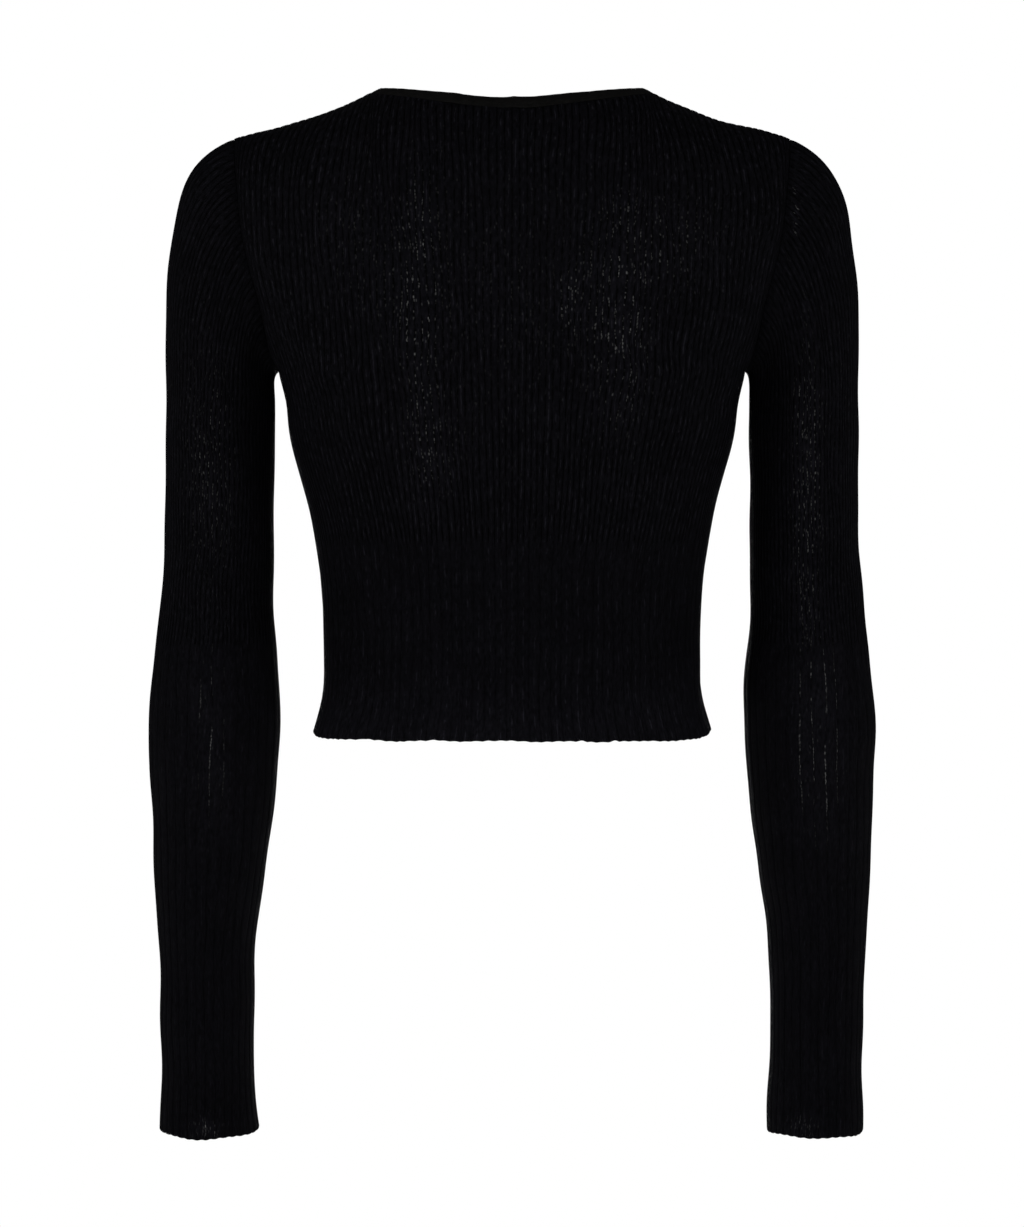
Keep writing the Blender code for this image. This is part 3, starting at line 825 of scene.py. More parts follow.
@dataclass
class Shell:
    """A closed wall of cloth between an outer and an inner grid of points.

    The inner grid has one row for every few rows of the outer one. Wales and courses are the
    knit's own coordinates: stitches across and stitches along.
    """

    name: str
    outer: Array
    inner: Array
    wales: Array
    courses: Array
    closes: bool = False
    pull: Array | None = None

    def _faces(self, outer: Array, inner: Array) -> tuple[Array, Array]:
        """Faces over index grids: quads of faces and ends, and six-sided faces down open sides.

        Args:
            outer: the outer grid's numbers.
            inner: the inner grid's numbers.

        Returns:
            The four-sided faces and the six-sided ones.
        """
        quads = [
            between(outer[:-1], outer[1:]),
            between(inner[1:], inner[:-1]),
            between(inner[0], outer[0]),
            between(outer[-1], inner[-1]),
        ]
        sides = np.zeros((0, WALL_ROWS + 3), int)
        if not self.closes:
            steps = np.arange(len(inner) - 1)
            down = steps[:, None] * WALL_ROWS + np.arange(WALL_ROWS + 1)
            left = np.concatenate([outer[down, 0], inner[steps + 1, :1], inner[steps, :1]], axis=1)
            right = np.concatenate([outer[down, -1], inner[steps + 1, -1:], inner[steps, -1:]], axis=1)
            sides = np.concatenate([left, right[:, ::-1]])
        return np.concatenate(quads), sides

    def build(self) -> bpy.types.Object:
        """Makes the object.

        Returns:
            The object, smooth-shaded, with a UV map in stitches and a point attribute for the painted light.
        """
        rows, columns = self.outer.shape[:2]
        points = np.concatenate([self.outer.reshape(-1, 3), self.inner.reshape(-1, 3)])
        index, behind = numbered(rows, columns), numbered(len(self.inner), columns, rows * columns)
        if self.closes:
            index, behind = wrap(index), wrap(behind)
        stitch = np.stack(np.broadcast_arrays(self.wales, self.courses), -1)
        stitches = np.concatenate([stitch.reshape(-1, 2), stitch[::WALL_ROWS].reshape(-1, 2)])
        wide = stitch.shape[1]

        quads, sides = self._faces(index, behind)
        flat = numbered(rows, wide), numbered(len(self.inner), wide, rows * wide)
        quad_stitches, side_stitches = self._faces(*flat)
        corners = points[quads]
        swept = np.cross(corners[:, 1] - corners[:, 0], corners[:, 2] - corners[:, 0])
        swept = swept + np.cross(corners[:, 2] - corners[:, 0], corners[:, 3] - corners[:, 0])
        if np.einsum("ij,ij->", corners[:, 0], swept) < 0:
            quads, sides = quads[:, ::-1], sides[:, ::-1]
            quad_stitches, side_stitches = quad_stitches[:, ::-1], side_stitches[:, ::-1]

        made = made_of(self.name, points, quads.tolist() + sides.tolist())
        mesh = made.data
        loops = np.concatenate([quad_stitches.ravel(), side_stitches.ravel()])
        mesh.uv_layers.new(name="stitches").data.foreach_set("uv", stitches[loops].ravel())
        if self.pull is not None:
            pull = np.concatenate([self.pull.ravel(), self.pull[::WALL_ROWS].ravel()])
            mesh.attributes.new("pull", "FLOAT", "POINT").data.foreach_set("value", pull)
        return made


# ------------------------------------------------------------------ finishes


class Nodes:
    """A short way to wire a material's nodes."""

    def __init__(self, name: str) -> None:
        """Starts a material with its surface shader.

        Args:
            name: the material's name.
        """
        self.material = bpy.data.materials.new(name)
        self.material.use_nodes = True
        self.tree = self.material.node_tree
        self.shader = self.tree.nodes["Principled BSDF"]

    def add(self, kind: str, *inputs: object, output: int = 0, **settings: object) -> Socket:
        """Adds a node.

        Args:
            kind: the node's type, without its ShaderNode prefix.
            inputs: a socket or a value for each input in turn, or None to leave it.
            output: which output is returned.
            settings: the node's own properties.

        Returns:
            The output socket.
        """
        node = self.tree.nodes.new("ShaderNode" + kind)
        for key, value in settings.items():
            setattr(node, key, value)
        for place, value in enumerate(inputs):
            self.feed(node.inputs[place], value)
        return node.outputs[output]

    def feed(self, socket: Socket, value: object) -> None:
        """Links a socket, or sets its value.

        Args:
            socket: an input.
            value: an output to link, a value to set, or None to leave it.
        """
        if isinstance(value, Socket):
            self.tree.links.new(value, socket)
        elif value is not None:
            socket.default_value = value

    def math(self, operation: str, *inputs: object) -> Socket:
        """A math node."""
        return self.add("Math", *inputs, operation=operation)

    def total(self, *values: object) -> Socket:
        """The sum of several values."""
        return reduce(lambda so_far, value: self.math("ADD", so_far, value), values)

    def product(self, *values: object) -> Socket:
        """The product of several values."""
        return reduce(lambda so_far, value: self.math("MULTIPLY", so_far, value), values)

    def line(self, value: object, scale: object, start: float) -> Socket:
        """A value times a scale, plus a start."""
        return self.math("MULTIPLY_ADD", value, scale, start)

    def rest(self, value: object) -> Socket:
        """What a value leaves of 1."""
        return self.math("SUBTRACT", 1.0, value)

    def noise(self, at: Socket, scale: float, detail: float, rough: float, flat: bool = False) -> Socket:
        """Cloudy noise from 0 to 1, in three dimensions or, if flat, in two."""
        return self.add("TexNoise", at, None, scale, detail, rough, noise_dimensions="2D" if flat else "3D")

    def band(self, value: object, low: float, high: float) -> Socket:
        """A smooth step of a value from 0 at low to 1 at high, or the other way round.

        Args:
            value: what is compared.
            low: where the step is 0.
            high: where the step is 1.

        Returns:
            The step.
        """
        node = self.tree.nodes.new("ShaderNodeMapRange")
        node.interpolation_type = "SMOOTHSTEP"
        lower, upper = min(low, high), max(low, high)
        ends = (0.0, 1.0) if low < high else (1.0, 0.0)
        for socket, given in zip(node.inputs, (value, lower, upper, *ends)):
            self.feed(socket, given)
        return node.outputs[0]

    def tint(self, colour: tuple[float, ...], amount: object, painted_glow: object = 0.0) -> Socket:
        """A colour made brighter or darker by an amount, and whitened by a painted glow of its mean."""
        white = self.product(painted_glow, sum(colour) / 3)
        return self.add("CombineColor", *(self.math("MULTIPLY_ADD", part, amount, white) for part in colour))

    def relief(self, height: Socket, strength: float, distance: float) -> Socket:
        """Directions of the surface under a fine relief.

        Args:
            height: the relief, from 0 to 1.
            strength: the share of it that is used.
            distance: the real height of 1.

        Returns:
            The directions.
        """
        node = self.add("Bump").node
        for name, value in (("Strength", strength), ("Distance", distance), ("Height", height)):
            self.feed(node.inputs[name], value)
        return node.outputs[0]

    def dress(self, values: dict[str, object]) -> bpy.types.Material:
        """Gives the surface shader its values.

        Args:
            values: for each of the shader's inputs, by its name.

        Returns:
            The material.
        """
        for name, value in values.items():
            self.feed(self.shader.inputs[name], value)
        return self.material


@dataclass(frozen=True)
class KnitPlace:
    """Where a point of the knit is: among its stitches, on the garment and in its ribs."""

    wale: Socket  # stitches across the piece
    course: Socket  # stitches along it
    leg: Socket  # 0 beside a wale to a half at its middle
    place: Socket
    level: Socket
    # how much painted light the point gets: painted glints and a painted lighter tone
    pull: Socket
    wide: Socket  # 1 among the wide ribs
    narrow: Socket  # 1 among the fine ones
    from_furrow: Socket  # wales from the nearest furrow
    crest: Socket  # 1 along the middle of a rib


@dataclass(frozen=True)
class KnitFinish:
    """Matt black yarn, knitted: stitches in relief, uneven in tone, with painted shade and highlights."""

    name: str
    colour: tuple[float, float, float] = (0.0027, 0.0026, 0.0035)
    roughness: float = 0.62
    gloss: float = 0.012
    sheen: float = 0.0015
    sheen_roughness: float = 0.35
    stitch_height: float = 0.00022
    stitch_slant: float = 1.1  # how far a stitch's leg climbs across its wale, in courses
    rib_change: float = -1.0  # the height below which the ribs are wide ones
    fine_wales: float = 4.0
    wide_wales: float = 8.0
    fine_painted_shade: float = 0.8  # painted shade: how much darker a furrow is painted than a crest
    wide_painted_shade: float = 0.3
    dash: float = 0.10  # dashes of a furrow's painted shade, for each course
    unevenness: float = 0.9  # how far the tone differs from one short run of stitches to the next
    painted_shine: float = 2.1  # painted highlights: how much brighter the crests' stitches are painted here and there
    painted_glint: float = 19.0  # painted highlights: how much brighter a stitch is painted in the spots of painted light
    cuff_below_change: float = 0.25  # from here down, glints are painted on the wide ribs too, at the cuffs' puckers
    hem_height: float = -1.0  # painted light: the knit is painted lighter towards this height
    hem_reach: float = 0.05
    hem_painted_light: float = 0.0

    def build(self) -> bpy.types.Material:
        """Makes the material from its places, its stitches, its ribs' painted shade and its painted glints.

        Returns:
            The material.
        """
        n = Nodes(self.name)
        at = self._place(n)
        stitch, yarn, fuzz, mottle = self._stitches(n, at)
        dash, within = self._cell(n, at, 0.24)
        dash = n.line(n.math("SUBTRACT", dash, 0.5), within, 0.5)
        tone = n.total(0.35, n.product(stitch, 0.25), n.product(yarn, 0.60), n.product(mottle, 0.75))
        tone = n.product(tone, n.line(dash, self.unevenness, 1.0 - self.unevenness / 2))
        # painted shade darkens the furrows, and the knit is painted lighter in the spots of painted light
        tone = n.product(tone, self._painted_furrow_shade(n, at), n.line(at.pull, 0.50, 0.84))
        # painted highlights: broken bright dashes along the crests
        short = n.band(self._streaks(n, at, 0.31, 0.13), 0.50, 0.62)
        tone = n.total(tone, n.product(at.crest, short, n.line(dash, 1.2, 0.4), self.painted_shine))
        # painted light: lighter towards the hem
        if self.hem_painted_light:
            towards = n.band(at.level, self.hem_height + self.hem_reach, self.hem_height)
            tone = n.product(tone, n.line(towards, self.hem_painted_light, 1.0))
        # painted highlights: glints that whiten the colour
        painted_brightness = self._painted_glints(n, at)
        height = n.total(stitch, n.product(fuzz, 0.35), n.product(yarn, 0.5))
        return n.dress(
            {
                "Base Color": n.tint(self.colour, tone, painted_brightness),
                "Roughness": n.line(painted_brightness, -0.03, self.roughness),
                "Normal": n.relief(height, 0.75, self.stitch_height),
                "Specular IOR Level": self.gloss,
                "Sheen Weight": self.sheen,
                "Sheen Roughness": self.sheen_roughness,
            }
        )

    def _place(self, n: Nodes) -> KnitPlace:
        """Reads the places. A rib is so many wales wide, with a furrow at each multiple of that.

        Args:
            n: the material's nodes.

        Returns:
            Where each point is.
        """
        wale = n.add("SeparateXYZ", n.add("UVMap", uv_map="stitches"))
        place = n.add("TexCoord", output=3)
        level = n.add("SeparateXYZ", place, output=2)
        wide = n.band(level, self.rib_change + 0.002, self.rib_change - 0.002)
        narrow = n.rest(wide)
        half_fine, half_wide = self.fine_wales / 2, self.wide_wales / 2
        in_fine, in_wide = (n.math("PINGPONG", wale, half) for half in (half_fine, half_wide))
        from_furrow = n.total(n.product(in_fine, narrow), n.product(in_wide, wide))
        from_crest = n.math("SUBTRACT", n.line(wide, half_wide - half_fine, half_fine), from_furrow)
        return KnitPlace(
            wale=wale,
            course=wale.node.outputs[1],
            leg=n.math("PINGPONG", wale, 0.5),
            place=place,
            level=level,
            pull=n.add("Attribute", attribute_name="pull", attribute_type="GEOMETRY", output=2),
            wide=wide,
            narrow=narrow,
            from_furrow=from_furrow,
            crest=n.band(from_crest, 0.50, 0.10),
        )

    def _stitches(self, n: Nodes, at: KnitPlace) -> tuple[Socket, Socket, Socket, Socket]:
        """Heights of the stitch, of the yarn and of its fuzz, and a slow mottle.

        A stitch is two slanted legs that meet at the middle of its wale: its height is a ridge
        across each leg times a wave along it.

        Args:
            n: the material's nodes.
            at: where each point is.

        Returns:
            The four, each from 0 to 1.
        """
        along = n.line(at.leg, self.stitch_slant, at.course)
        wave = n.line(n.math("SINE", n.product(along, 2 * math.pi)), 0.5, 0.5)
        ridge = n.math("SINE", n.product(at.leg, 2 * math.pi))
        stitch = n.product(ridge, n.line(wave, 0.6, 0.4))
        fuzz, mottle = n.noise(at.place, 900.0, 2.0, 0.6), n.noise(at.place, 34.0, 3.0, 0.55)
        return stitch, self._streaks(n, at, 0.55, 0.16), fuzz, mottle

    def _painted_furrow_shade(self, n: Nodes, at: KnitPlace) -> Socket:
        """What the painted shade of the furrows, dark in broken dashes, leaves of the tone.

        Args:
            n: the material's nodes.
            at: where each point is.

        Returns:
            A share of the tone.
        """
        dashes = n.band(self._streaks(n, at, 0.25, self.dash), 0.34, 0.52)
        depth = n.line(at.wide, self.wide_painted_shade - self.fine_painted_shade, self.fine_painted_shade)
        return n.rest(n.product(n.band(at.from_furrow, 0.80, 0.10), dashes, depth))

    def _painted_glints(self, n: Nodes, at: KnitPlace) -> Socket:
        """How much brighter each stitch is painted: painted highlights in the spots of painted light.

        Single stitches are painted shining: few of them outside the spots of painted light and many,
        much brighter, inside them, in patches, and on the wide ribs only at the cuffs. Beside the
        furrows, painted glints in the spots make broken lines, which are long ones on the wide ribs.

        Args:
            n: the material's nodes.
            at: where each point is.

        Returns:
            The painted glow.
        """
        chance, inside = self._cell(n, at, 0.40)
        patch = n.band(n.noise(at.place, 90.0, 2.0, 0.6), 0.40, 0.70)
        cuff_height = self.rib_change - self.cuff_below_change
        cuff = n.band(at.level, cuff_height, cuff_height - 0.02)
        glint_room = n.line(n.total(at.narrow, cuff), 0.9, 0.1)
        thick = n.total(n.line(patch, 0.16, 0.02), n.product(cuff, 0.16))
        odds = n.total(chance, n.product(at.pull, glint_room, thick))
        single = n.product(n.band(odds, 0.985, 1.01), n.band(at.leg, 0.05, 0.30), inside)
        strong = n.product(at.pull, n.line(chance, 0.8, 0.4), self.painted_glint)

        long_lines = n.band(self._streaks(n, at, 0.13, 0.07), 0.39, 0.48)
        runs = n.band(self._streaks(n, at, 0.33, 0.17), 0.48, 0.60)
        runs = n.product(runs, n.band(chance, 0.3, 0.6), at.narrow, 0.75)
        broken = n.total(n.product(long_lines, at.wide), runs)
        dots = n.product(n.band(chance, 0.30, 0.90), inside)
        on_line = n.product(broken, n.band(at.from_furrow, 0.60, 0.20), n.band(at.pull, 0.15, 0.80))
        return n.total(
            n.product(single, n.line(at.crest, 0.7, 0.3), n.total(strong, self.painted_shine * 1.5)),
            n.product(on_line, n.line(dots, 2.0, 0.06), self.painted_glint),
        )

    def _cell(self, n: Nodes, at: KnitPlace, along: float) -> tuple[Socket, Socket]:
        """A number from 0 to 1 for each few stitches along a wale, and a fade to 0 at their ends.

        Args:
            n: the material's nodes.
            at: where each point is.
            along: runs of stitches for each course.

        Returns:
            The number and the fade.
        """
        column = n.math("FLOOR", at.wale)
        start = n.add("TexWhiteNoise", None, column, noise_dimensions="1D")
        place = n.line(at.course, along, n.product(start, 7.0))
        cell = n.add("CombineXYZ", column, n.math("FLOOR", place), 0.0)
        chance = n.add("TexWhiteNoise", cell, noise_dimensions="2D")
        return chance, n.band(n.math("PINGPONG", place, 0.5), 0.0, 0.3)

    def _streaks(self, n: Nodes, at: KnitPlace, across: float, along: float) -> Socket:
        """Unevenness over the stitches, from 0 to 1, drawn out along the wales."""
        spot = n.add("CombineXYZ", n.product(at.wale, across), n.product(at.course, along), 0.0)
        return n.noise(spot, 1.0, 2.0, 0.6, flat=True)


@dataclass(frozen=True)
class ButtonFinish:
    """Black moulded resin, softly polished, with fine turning marks."""

    name: str
    colour: tuple[float, float, float] = (0.006, 0.006, 0.0065)
    gloss: float = 0.20

    def build(self) -> bpy.types.Material:
        """Makes the material: cloudy in roughness, in tone and in a very fine relief.

        Returns:
            The material.
        """
        n = Nodes(self.name)
        cloud = n.noise(n.add("TexCoord", output=3), 420.0, 3.0, 0.55)
        return n.dress(
            {
                "Base Color": n.tint(self.colour, n.line(cloud, 0.5, 0.75)),
                "Roughness": n.line(cloud, 0.22, 0.28),
                "Normal": n.relief(cloud, 0.3, 0.00004),
                "Specular IOR Level": self.gloss,
            }
        )


@dataclass(frozen=True)
class ThreadFinish:
    """Twisted black sewing thread with a slight lustre."""

    name: str
    colour: tuple[float, float, float] = (0.010, 0.010, 0.011)
    roughness: float = 0.5

    def build(self) -> bpy.types.Material:
        """Makes the material: a slanted wave for the twist, in tone and in relief.

        Returns:
            The material.
        """
        n = Nodes(self.name)
        bands = {"wave_type": "BANDS", "bands_direction": "DIAGONAL"}
        twist = n.add("TexWave", n.add("TexCoord", output=3), 1400.0, 0.6, output=1, **bands)
        return n.dress(
            {
                "Base Color": n.tint(self.colour, n.line(twist, 0.8, 0.6)),
                "Roughness": self.roughness,
                "Normal": n.relief(twist, 0.6, 0.00006),
            }
        )


class Finish(Enum):
    """The finishes of the garment."""

    BODY_KNIT = KnitFinish("black_rib_knit", rib_change=-0.275, hem_height=CUT.hem, hem_painted_light=0.6)
    SLEEVE_KNIT = KnitFinish("black_rib_knit_sleeve", rib_change=-0.338, wide_wales=10.0, painted_shine=1.4)
    TRIM_KNIT = KnitFinish(
        "black_trim_knit", (0.0048, 0.0046, 0.0045), painted_shine=0.0, fine_painted_shade=0.0, unevenness=0.3
    )
    RESIN = ButtonFinish("black_resin")
    THREAD = ThreadFinish("black_thread")

    def material(self) -> bpy.types.Material:
        """The finish's material, made once."""
        return bpy.data.materials.get(self.value.name) or self.value.build()


# ------------------------------------------------------------------ sub-assemblies


class Side(Enum):
    """A side of the wearer, as the sign of X."""

    LEFT = 1
    RIGHT = -1


@dataclass(frozen=True)
class ClothPiece:
    """What a finished piece of cloth says: the solid that it stands for, its cut and how it lies."""

    node: str
    flat: tuple[float, float]
    area: float
    rests_on: tuple[str, ...]

    def settle(self, made: bpy.types.Object, finish: Finish) -> None:
        """Args:
            made: the piece.
            finish: its finish.
        """
        made.data.materials.append(finish.material())
        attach(made, "root")
        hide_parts(self.node)
        LOG.info("%s: %d faces", made.name, len(made.data.polygons))


@dataclass
class PanelSide:
    """The smooth form under one side of a panel: rows from hem to top, columns from its centre edge."""

    half: TorsoHalf
    way: int  # 1 or -1, the side of the wearer
    ribbing: Ribbing
    up: Array  # -1 at the hem, 0 at the underarm, 1 at the top
    count: Array  # fine ribs from the centre edge, for each column
    base: Array
    normal: Array
    room: Array  # 0 beside the armhole where columns crowd and leave no room for ribs

    def __post_init__(self) -> None:
        """Measures how far each point lies from the panel's edges."""
        round_it = lengths(self.base, 1)
        self.to_hem = lengths(self.base, 0)
        self.to_top = self.to_hem[-1:] - self.to_hem
        self.to_side = round_it[:, -1:] - round_it


@dataclass
class TorsoPanels:
    """The back and the two fronts."""

    samples: int = 6  # columns for each fine rib
    row_step: float = 0.0045
    back_ribs: int = 50  # fine ribs on each side of the centre
    front_ribs: int = 48
    body: Ribbing = Ribbing(change_height=-0.275, seed=11)
    seam_radius: float = 0.0022  # how wide a seam's groove is on each side
    seam_sink: float = 0.0005
    armhole_sink: float = 0.0002
    seam_step: float = 0.0005  # the shoulder seam steps halfway through the cloth, and shows no light
    hem_drop: float = 0.0014  # the back's hem hangs lower than the sides by this much
    scallop: float = 0.0003  # of the hem, at each fine rib
    notch: float = 0.0007
    shoulder_cord: float = 0.0005  # the linked shoulder seam stands up by this much
    wales: float = 4.0  # wales for each fine rib
    course: float = 0.00085  # height of a stitch
    sway: Uneven = Uneven(0.35, 7.0, 0.35)  # of the ribs, in ribs, over ribs and rows
    bumps: Uneven = Uneven(0.0005, 0.05, 0.06, 31)
    ripple: Uneven = Uneven(0.0011, 0.030, 0.09, 71, 4)  # of the hem, in and out
    notches: Uneven = Uneven(1.0, 0.011, 1.0, 91, 6)
    hem_wave: Uneven = Uneven(0.0008, 0.055, 1.0, 97, 3)
    folds: tuple[Fold, ...] = (
        Fold((0.140, 0.020, -0.168), (0.096, 0.084, -0.142), 0.0060, 0.0016),
        Fold((0.141, 0.022, -0.178), (0.104, 0.080, -0.186), 0.0050, 0.0012),
        Fold((-0.140, 0.020, -0.168), (-0.092, 0.086, -0.136), 0.0060, 0.0015),
        Fold((-0.141, 0.022, -0.180), (-0.108, 0.076, -0.194), 0.0055, 0.0012),
        Fold((0.140, -0.022, -0.166), (0.098, -0.086, -0.176), 0.0065, 0.0018),
        Fold((-0.140, -0.022, -0.168), (-0.100, -0.084, -0.180), 0.0065, 0.0017),
        Fold((0.141, -0.020, -0.178), (0.112, -0.070, -0.205), 0.0055, 0.0012),
        Fold((-0.141, -0.020, -0.176), (-0.110, -0.074, -0.198), 0.0055, 0.0013),
        Fold((0.060, 0.085, -0.322), (0.105, 0.040, -0.330), 0.0070, 0.0008),
        Fold((-0.050, 0.086, -0.335), (-0.098, 0.050, -0.328), 0.0070, 0.0008),
        Fold((0.050, -0.084, -0.318), (0.104, -0.040, -0.326), 0.0070, 0.0009),
        Fold((-0.056, -0.084, -0.326), (-0.106, -0.036, -0.334), 0.0070, 0.0009),
    )

    def rows(self) -> Array:
        """Places up a panel, -1 at the hem to 1 at the top, closer at its edges and at the change.

        The last three stay at the top, and run down the step in its edge.

        Returns:
            The places, from the hem up.
        """
        drop = CUT.underarm - CUT.hem
        change = self.body.change_height - CUT.hem
        below = spaced(
            (0.0, 0.0006, 0.0002),
            (0.0006, 0.003, 0.0008),
            (0.003, change - 0.004, self.row_step),
            (change - 0.004, change + 0.004, 0.0013),
            (change + 0.004, drop, self.row_step),
        )
        reach = 0.165
        above = spaced(
            (0.0, reach - 0.006, self.row_step),
            (reach - 0.006, reach - 0.0006, 0.0009),
            (reach - 0.0006, reach, 0.0002),
        )
        return np.append(thirds(np.concatenate([below / drop - 1.0, above[1:] / reach])), [1.0, 1.0, 1.0])

    def laid(
        self, half: TorsoHalf, edge_out: float, ribs: int, way: int, ribbing: Ribbing
    ) -> PanelSide:
        """The form under one side of a panel, whose ribs waver a little sideways.

        Args:
            half: back or front.
            edge_out: how far out its centre edge lies.
            ribs: fine ribs across it.
            way: 1 or -1, the side of the wearer.
            ribbing: the rib pattern, whose seed also picks the wavering.

        Returns:
            Its grids.
        """
        up = self.rows()
        count = np.linspace(0.0, ribs, ribs * self.samples + 1)
        window = np.sin(np.pi * count / ribs)[None] ** 0.5
        sway = self.sway.at(count[None], up[:, None], ribbing.seed + 5 * way + half.facing)
        across = half.straight(edge_out, (count[None] + sway * window) / ribs, up)
        turn, rise = half.panel(edge_out, across, up)
        base, normal = half.point(turn, rise), half.normal(turn, rise)
        on_seam = np.isclose(np.abs(turn), QUARTER) | np.isclose(rise, 1.0)
        base[..., 1] += np.where(on_seam, half.facing * CUT.seam / 2, 0.0)
        room = ease((np.gradient(across, axis=1) * len(count) - 0.45) / 0.4)
        return PanelSide(half, way, ribbing, up, count, base, normal, room)

    def relief(self, laid: PanelSide) -> Array:
        """How far the knit stands off the form.

        The ribs, less the folds and a slow unevenness, drawn in along every seam, with the linked
        shoulder seam's cord and a ripple near the hem.

        Args:
            laid: the form under one side of a panel.

        Returns:
            Distances past the form.
        """
        seen = laid.base * np.array([laid.way, 1.0, 1.0])
        out, height, facing = laid.base[..., 0], laid.base[..., 2], laid.half.facing
        to_edge = np.minimum(laid.to_side, laid.to_top)
        ribs = laid.ribbing.relief(laid.count[None], height) * laid.room
        relief = ribs * ease(to_edge / (1.6 * self.seam_radius))
        relief = relief + sum(fold.at(seen) for fold in self.folds) * ease(laid.to_top / 0.01)
        relief = (relief + self.bumps.at(seen[..., 0], height, facing)) * ease(laid.to_side / 0.004)
        side_sink = np.where(laid.up < 0, self.seam_sink, self.armhole_sink)[:, None]
        sink = side_sink * (1 - ease(laid.to_side / self.seam_radius))
        sink = sink + self.seam_sink * (1 - ease(laid.to_top / self.seam_radius))
        on_shoulder = ease((out - CUT.neck_half_width - 0.002) / 0.006)
        cord = self.shoulder_cord * bell((laid.to_top - 0.0026) / 0.0011) * on_shoulder
        ripple = self.ripple.at(seen[..., 0], laid.to_hem, facing) * ease(laid.to_side / 0.01)
        return relief + cord - sink + ripple * np.exp(-laid.to_hem / 0.014)

    def hang(self, laid: PanelSide) -> Array:
        """How far the hem rises: small scallops, notches and a slow wave, less the back's drop.

        Args:
            laid: the form under one side of a panel.

        Returns:
            Heights to add.
        """
        out, facing = laid.way * laid.base[..., 0], laid.half.facing
        scallop = 0.5 - 0.5 * np.cos(np.pi * (laid.count[None] + laid.ribbing.shift))
        notch = np.clip(self.notches.at(out, 0.0, facing), 0.0, 1.0) ** 2
        lift = self.scallop * scallop + self.notch * notch + self.hem_wave.at(out, 0.0, facing)
        lift = lift * np.exp(-laid.to_hem / 0.006) * ease(laid.to_side / 0.008)
        if laid.half is BACK:
            lift = lift - self.hem_drop * np.exp(-laid.to_hem / 0.03) * ease(laid.to_side / 0.03)
        return lift

    def faces(self, laid: PanelSide) -> list[Array]:
        """Both faces of one side of a panel. The top edge steps down, and the two steps interlock.

        Args:
            laid: the form under it.

        Returns:
            The outer and the inner face.
        """
        normal = laid.normal
        outer, inner = walls(laid.base, normal, self.relief(laid), 0.0, roll_in(laid.to_hem, CUT.wall / 2))
        ledge = (CUT.wall + laid.half.facing * CUT.seam) / 2
        for row, depth in ((-3, ledge), (-2, ledge + 0.00008), (-1, CUT.wall - 0.0004)):
            outer[row] -= depth * normal[row]
        inner[-1] += 0.0002 * normal[-1]
        on_shoulder = ease((laid.base[..., 0] - CUT.neck_half_width + 0.004) / 0.004)
        step = self.seam_step * np.exp(-laid.to_top / 0.0015) * on_shoulder
        outer[:-2, :, 1] += step[:-2]
        outer[-2:, :, 1] -= step[-2:]
        inner[..., 1] -= step
        lift = self.hang(laid)
        for face in (outer, inner):
            face[..., 2] += lift
        return [outer, inner]

    def settle(self, name: str, faces: list[Array], count: Array, to_hem: Array, cloth: ClothPiece) -> None:
        """Closes a panel's two faces into a piece, and finishes it.

        Args:
            name: the piece's name.
            faces: the outer and the inner face.
            count: fine ribs from its first column, for each column.
            to_hem: distances from the hem.
            cloth: its cut and the solid that it stands for.
        """
        outer, inner = faces
        wales, courses = count[None] * self.wales, to_hem / self.course
        made = Shell(name, outer, inner[::WALL_ROWS], wales, courses, pull=painted_light_at(outer)).build()
        cloth.settle(made, Finish.BODY_KNIT)

    def back(self) -> None:
        """The back, hem to neck trim and shoulder seams, in one piece."""
        ribbing = replace(self.body, shift=1.0)
        left, right = (self.laid(BACK, 0.0, self.back_ribs, way, ribbing) for way in (1, -1))
        flip = np.array([-1.0, 1.0, 1.0])
        faces = [
            np.concatenate([(face * flip)[:, :0:-1], other], axis=1)
            for face, other in zip(self.faces(right), self.faces(left))
        ]
        for face in faces:
            face[:, len(right.count) - 1, 0] = 0.0
        count = np.concatenate([-right.count[:0:-1], left.count]) + 2 * self.back_ribs + 1
        to_hem = np.concatenate([right.to_hem[:, :0:-1], left.to_hem], axis=1)
        cloth = ClothPiece("back_panel", (0.400, 0.395), 0.136, ("sleeve_left", "sleeve_right"))
        self.settle("knit_back", faces, count, to_hem, cloth)

    def front(self, side: Side) -> None:
        """One front. The wearer's right front laps over the left.

        Args:
            side: which front.
        """
        ribbing = replace(self.body, seed=self.body.seed + 10 * side.value + 12)
        laid = self.laid(FRONT, CUT.band_width / 2 + CUT.seam, self.front_ribs, side.value, ribbing)
        lift = CUT.lap(laid.base[..., 0])[..., None] * laid.normal if side is Side.RIGHT else 0.0
        faces = [(face + lift) * np.array([side.value, 1.0, 1.0]) for face in self.faces(laid)]
        name = side.name.lower()
        cloth = ClothPiece(f"front_{name}", (0.185, 0.370), 0.062, (f"sleeve_{name}",))
        self.settle(f"knit_front_{name}", faces, laid.count, laid.to_hem, cloth)

    def build(self) -> None:
        """Makes the three panels."""
        self.back()
        for side in Side:
            self.front(side)


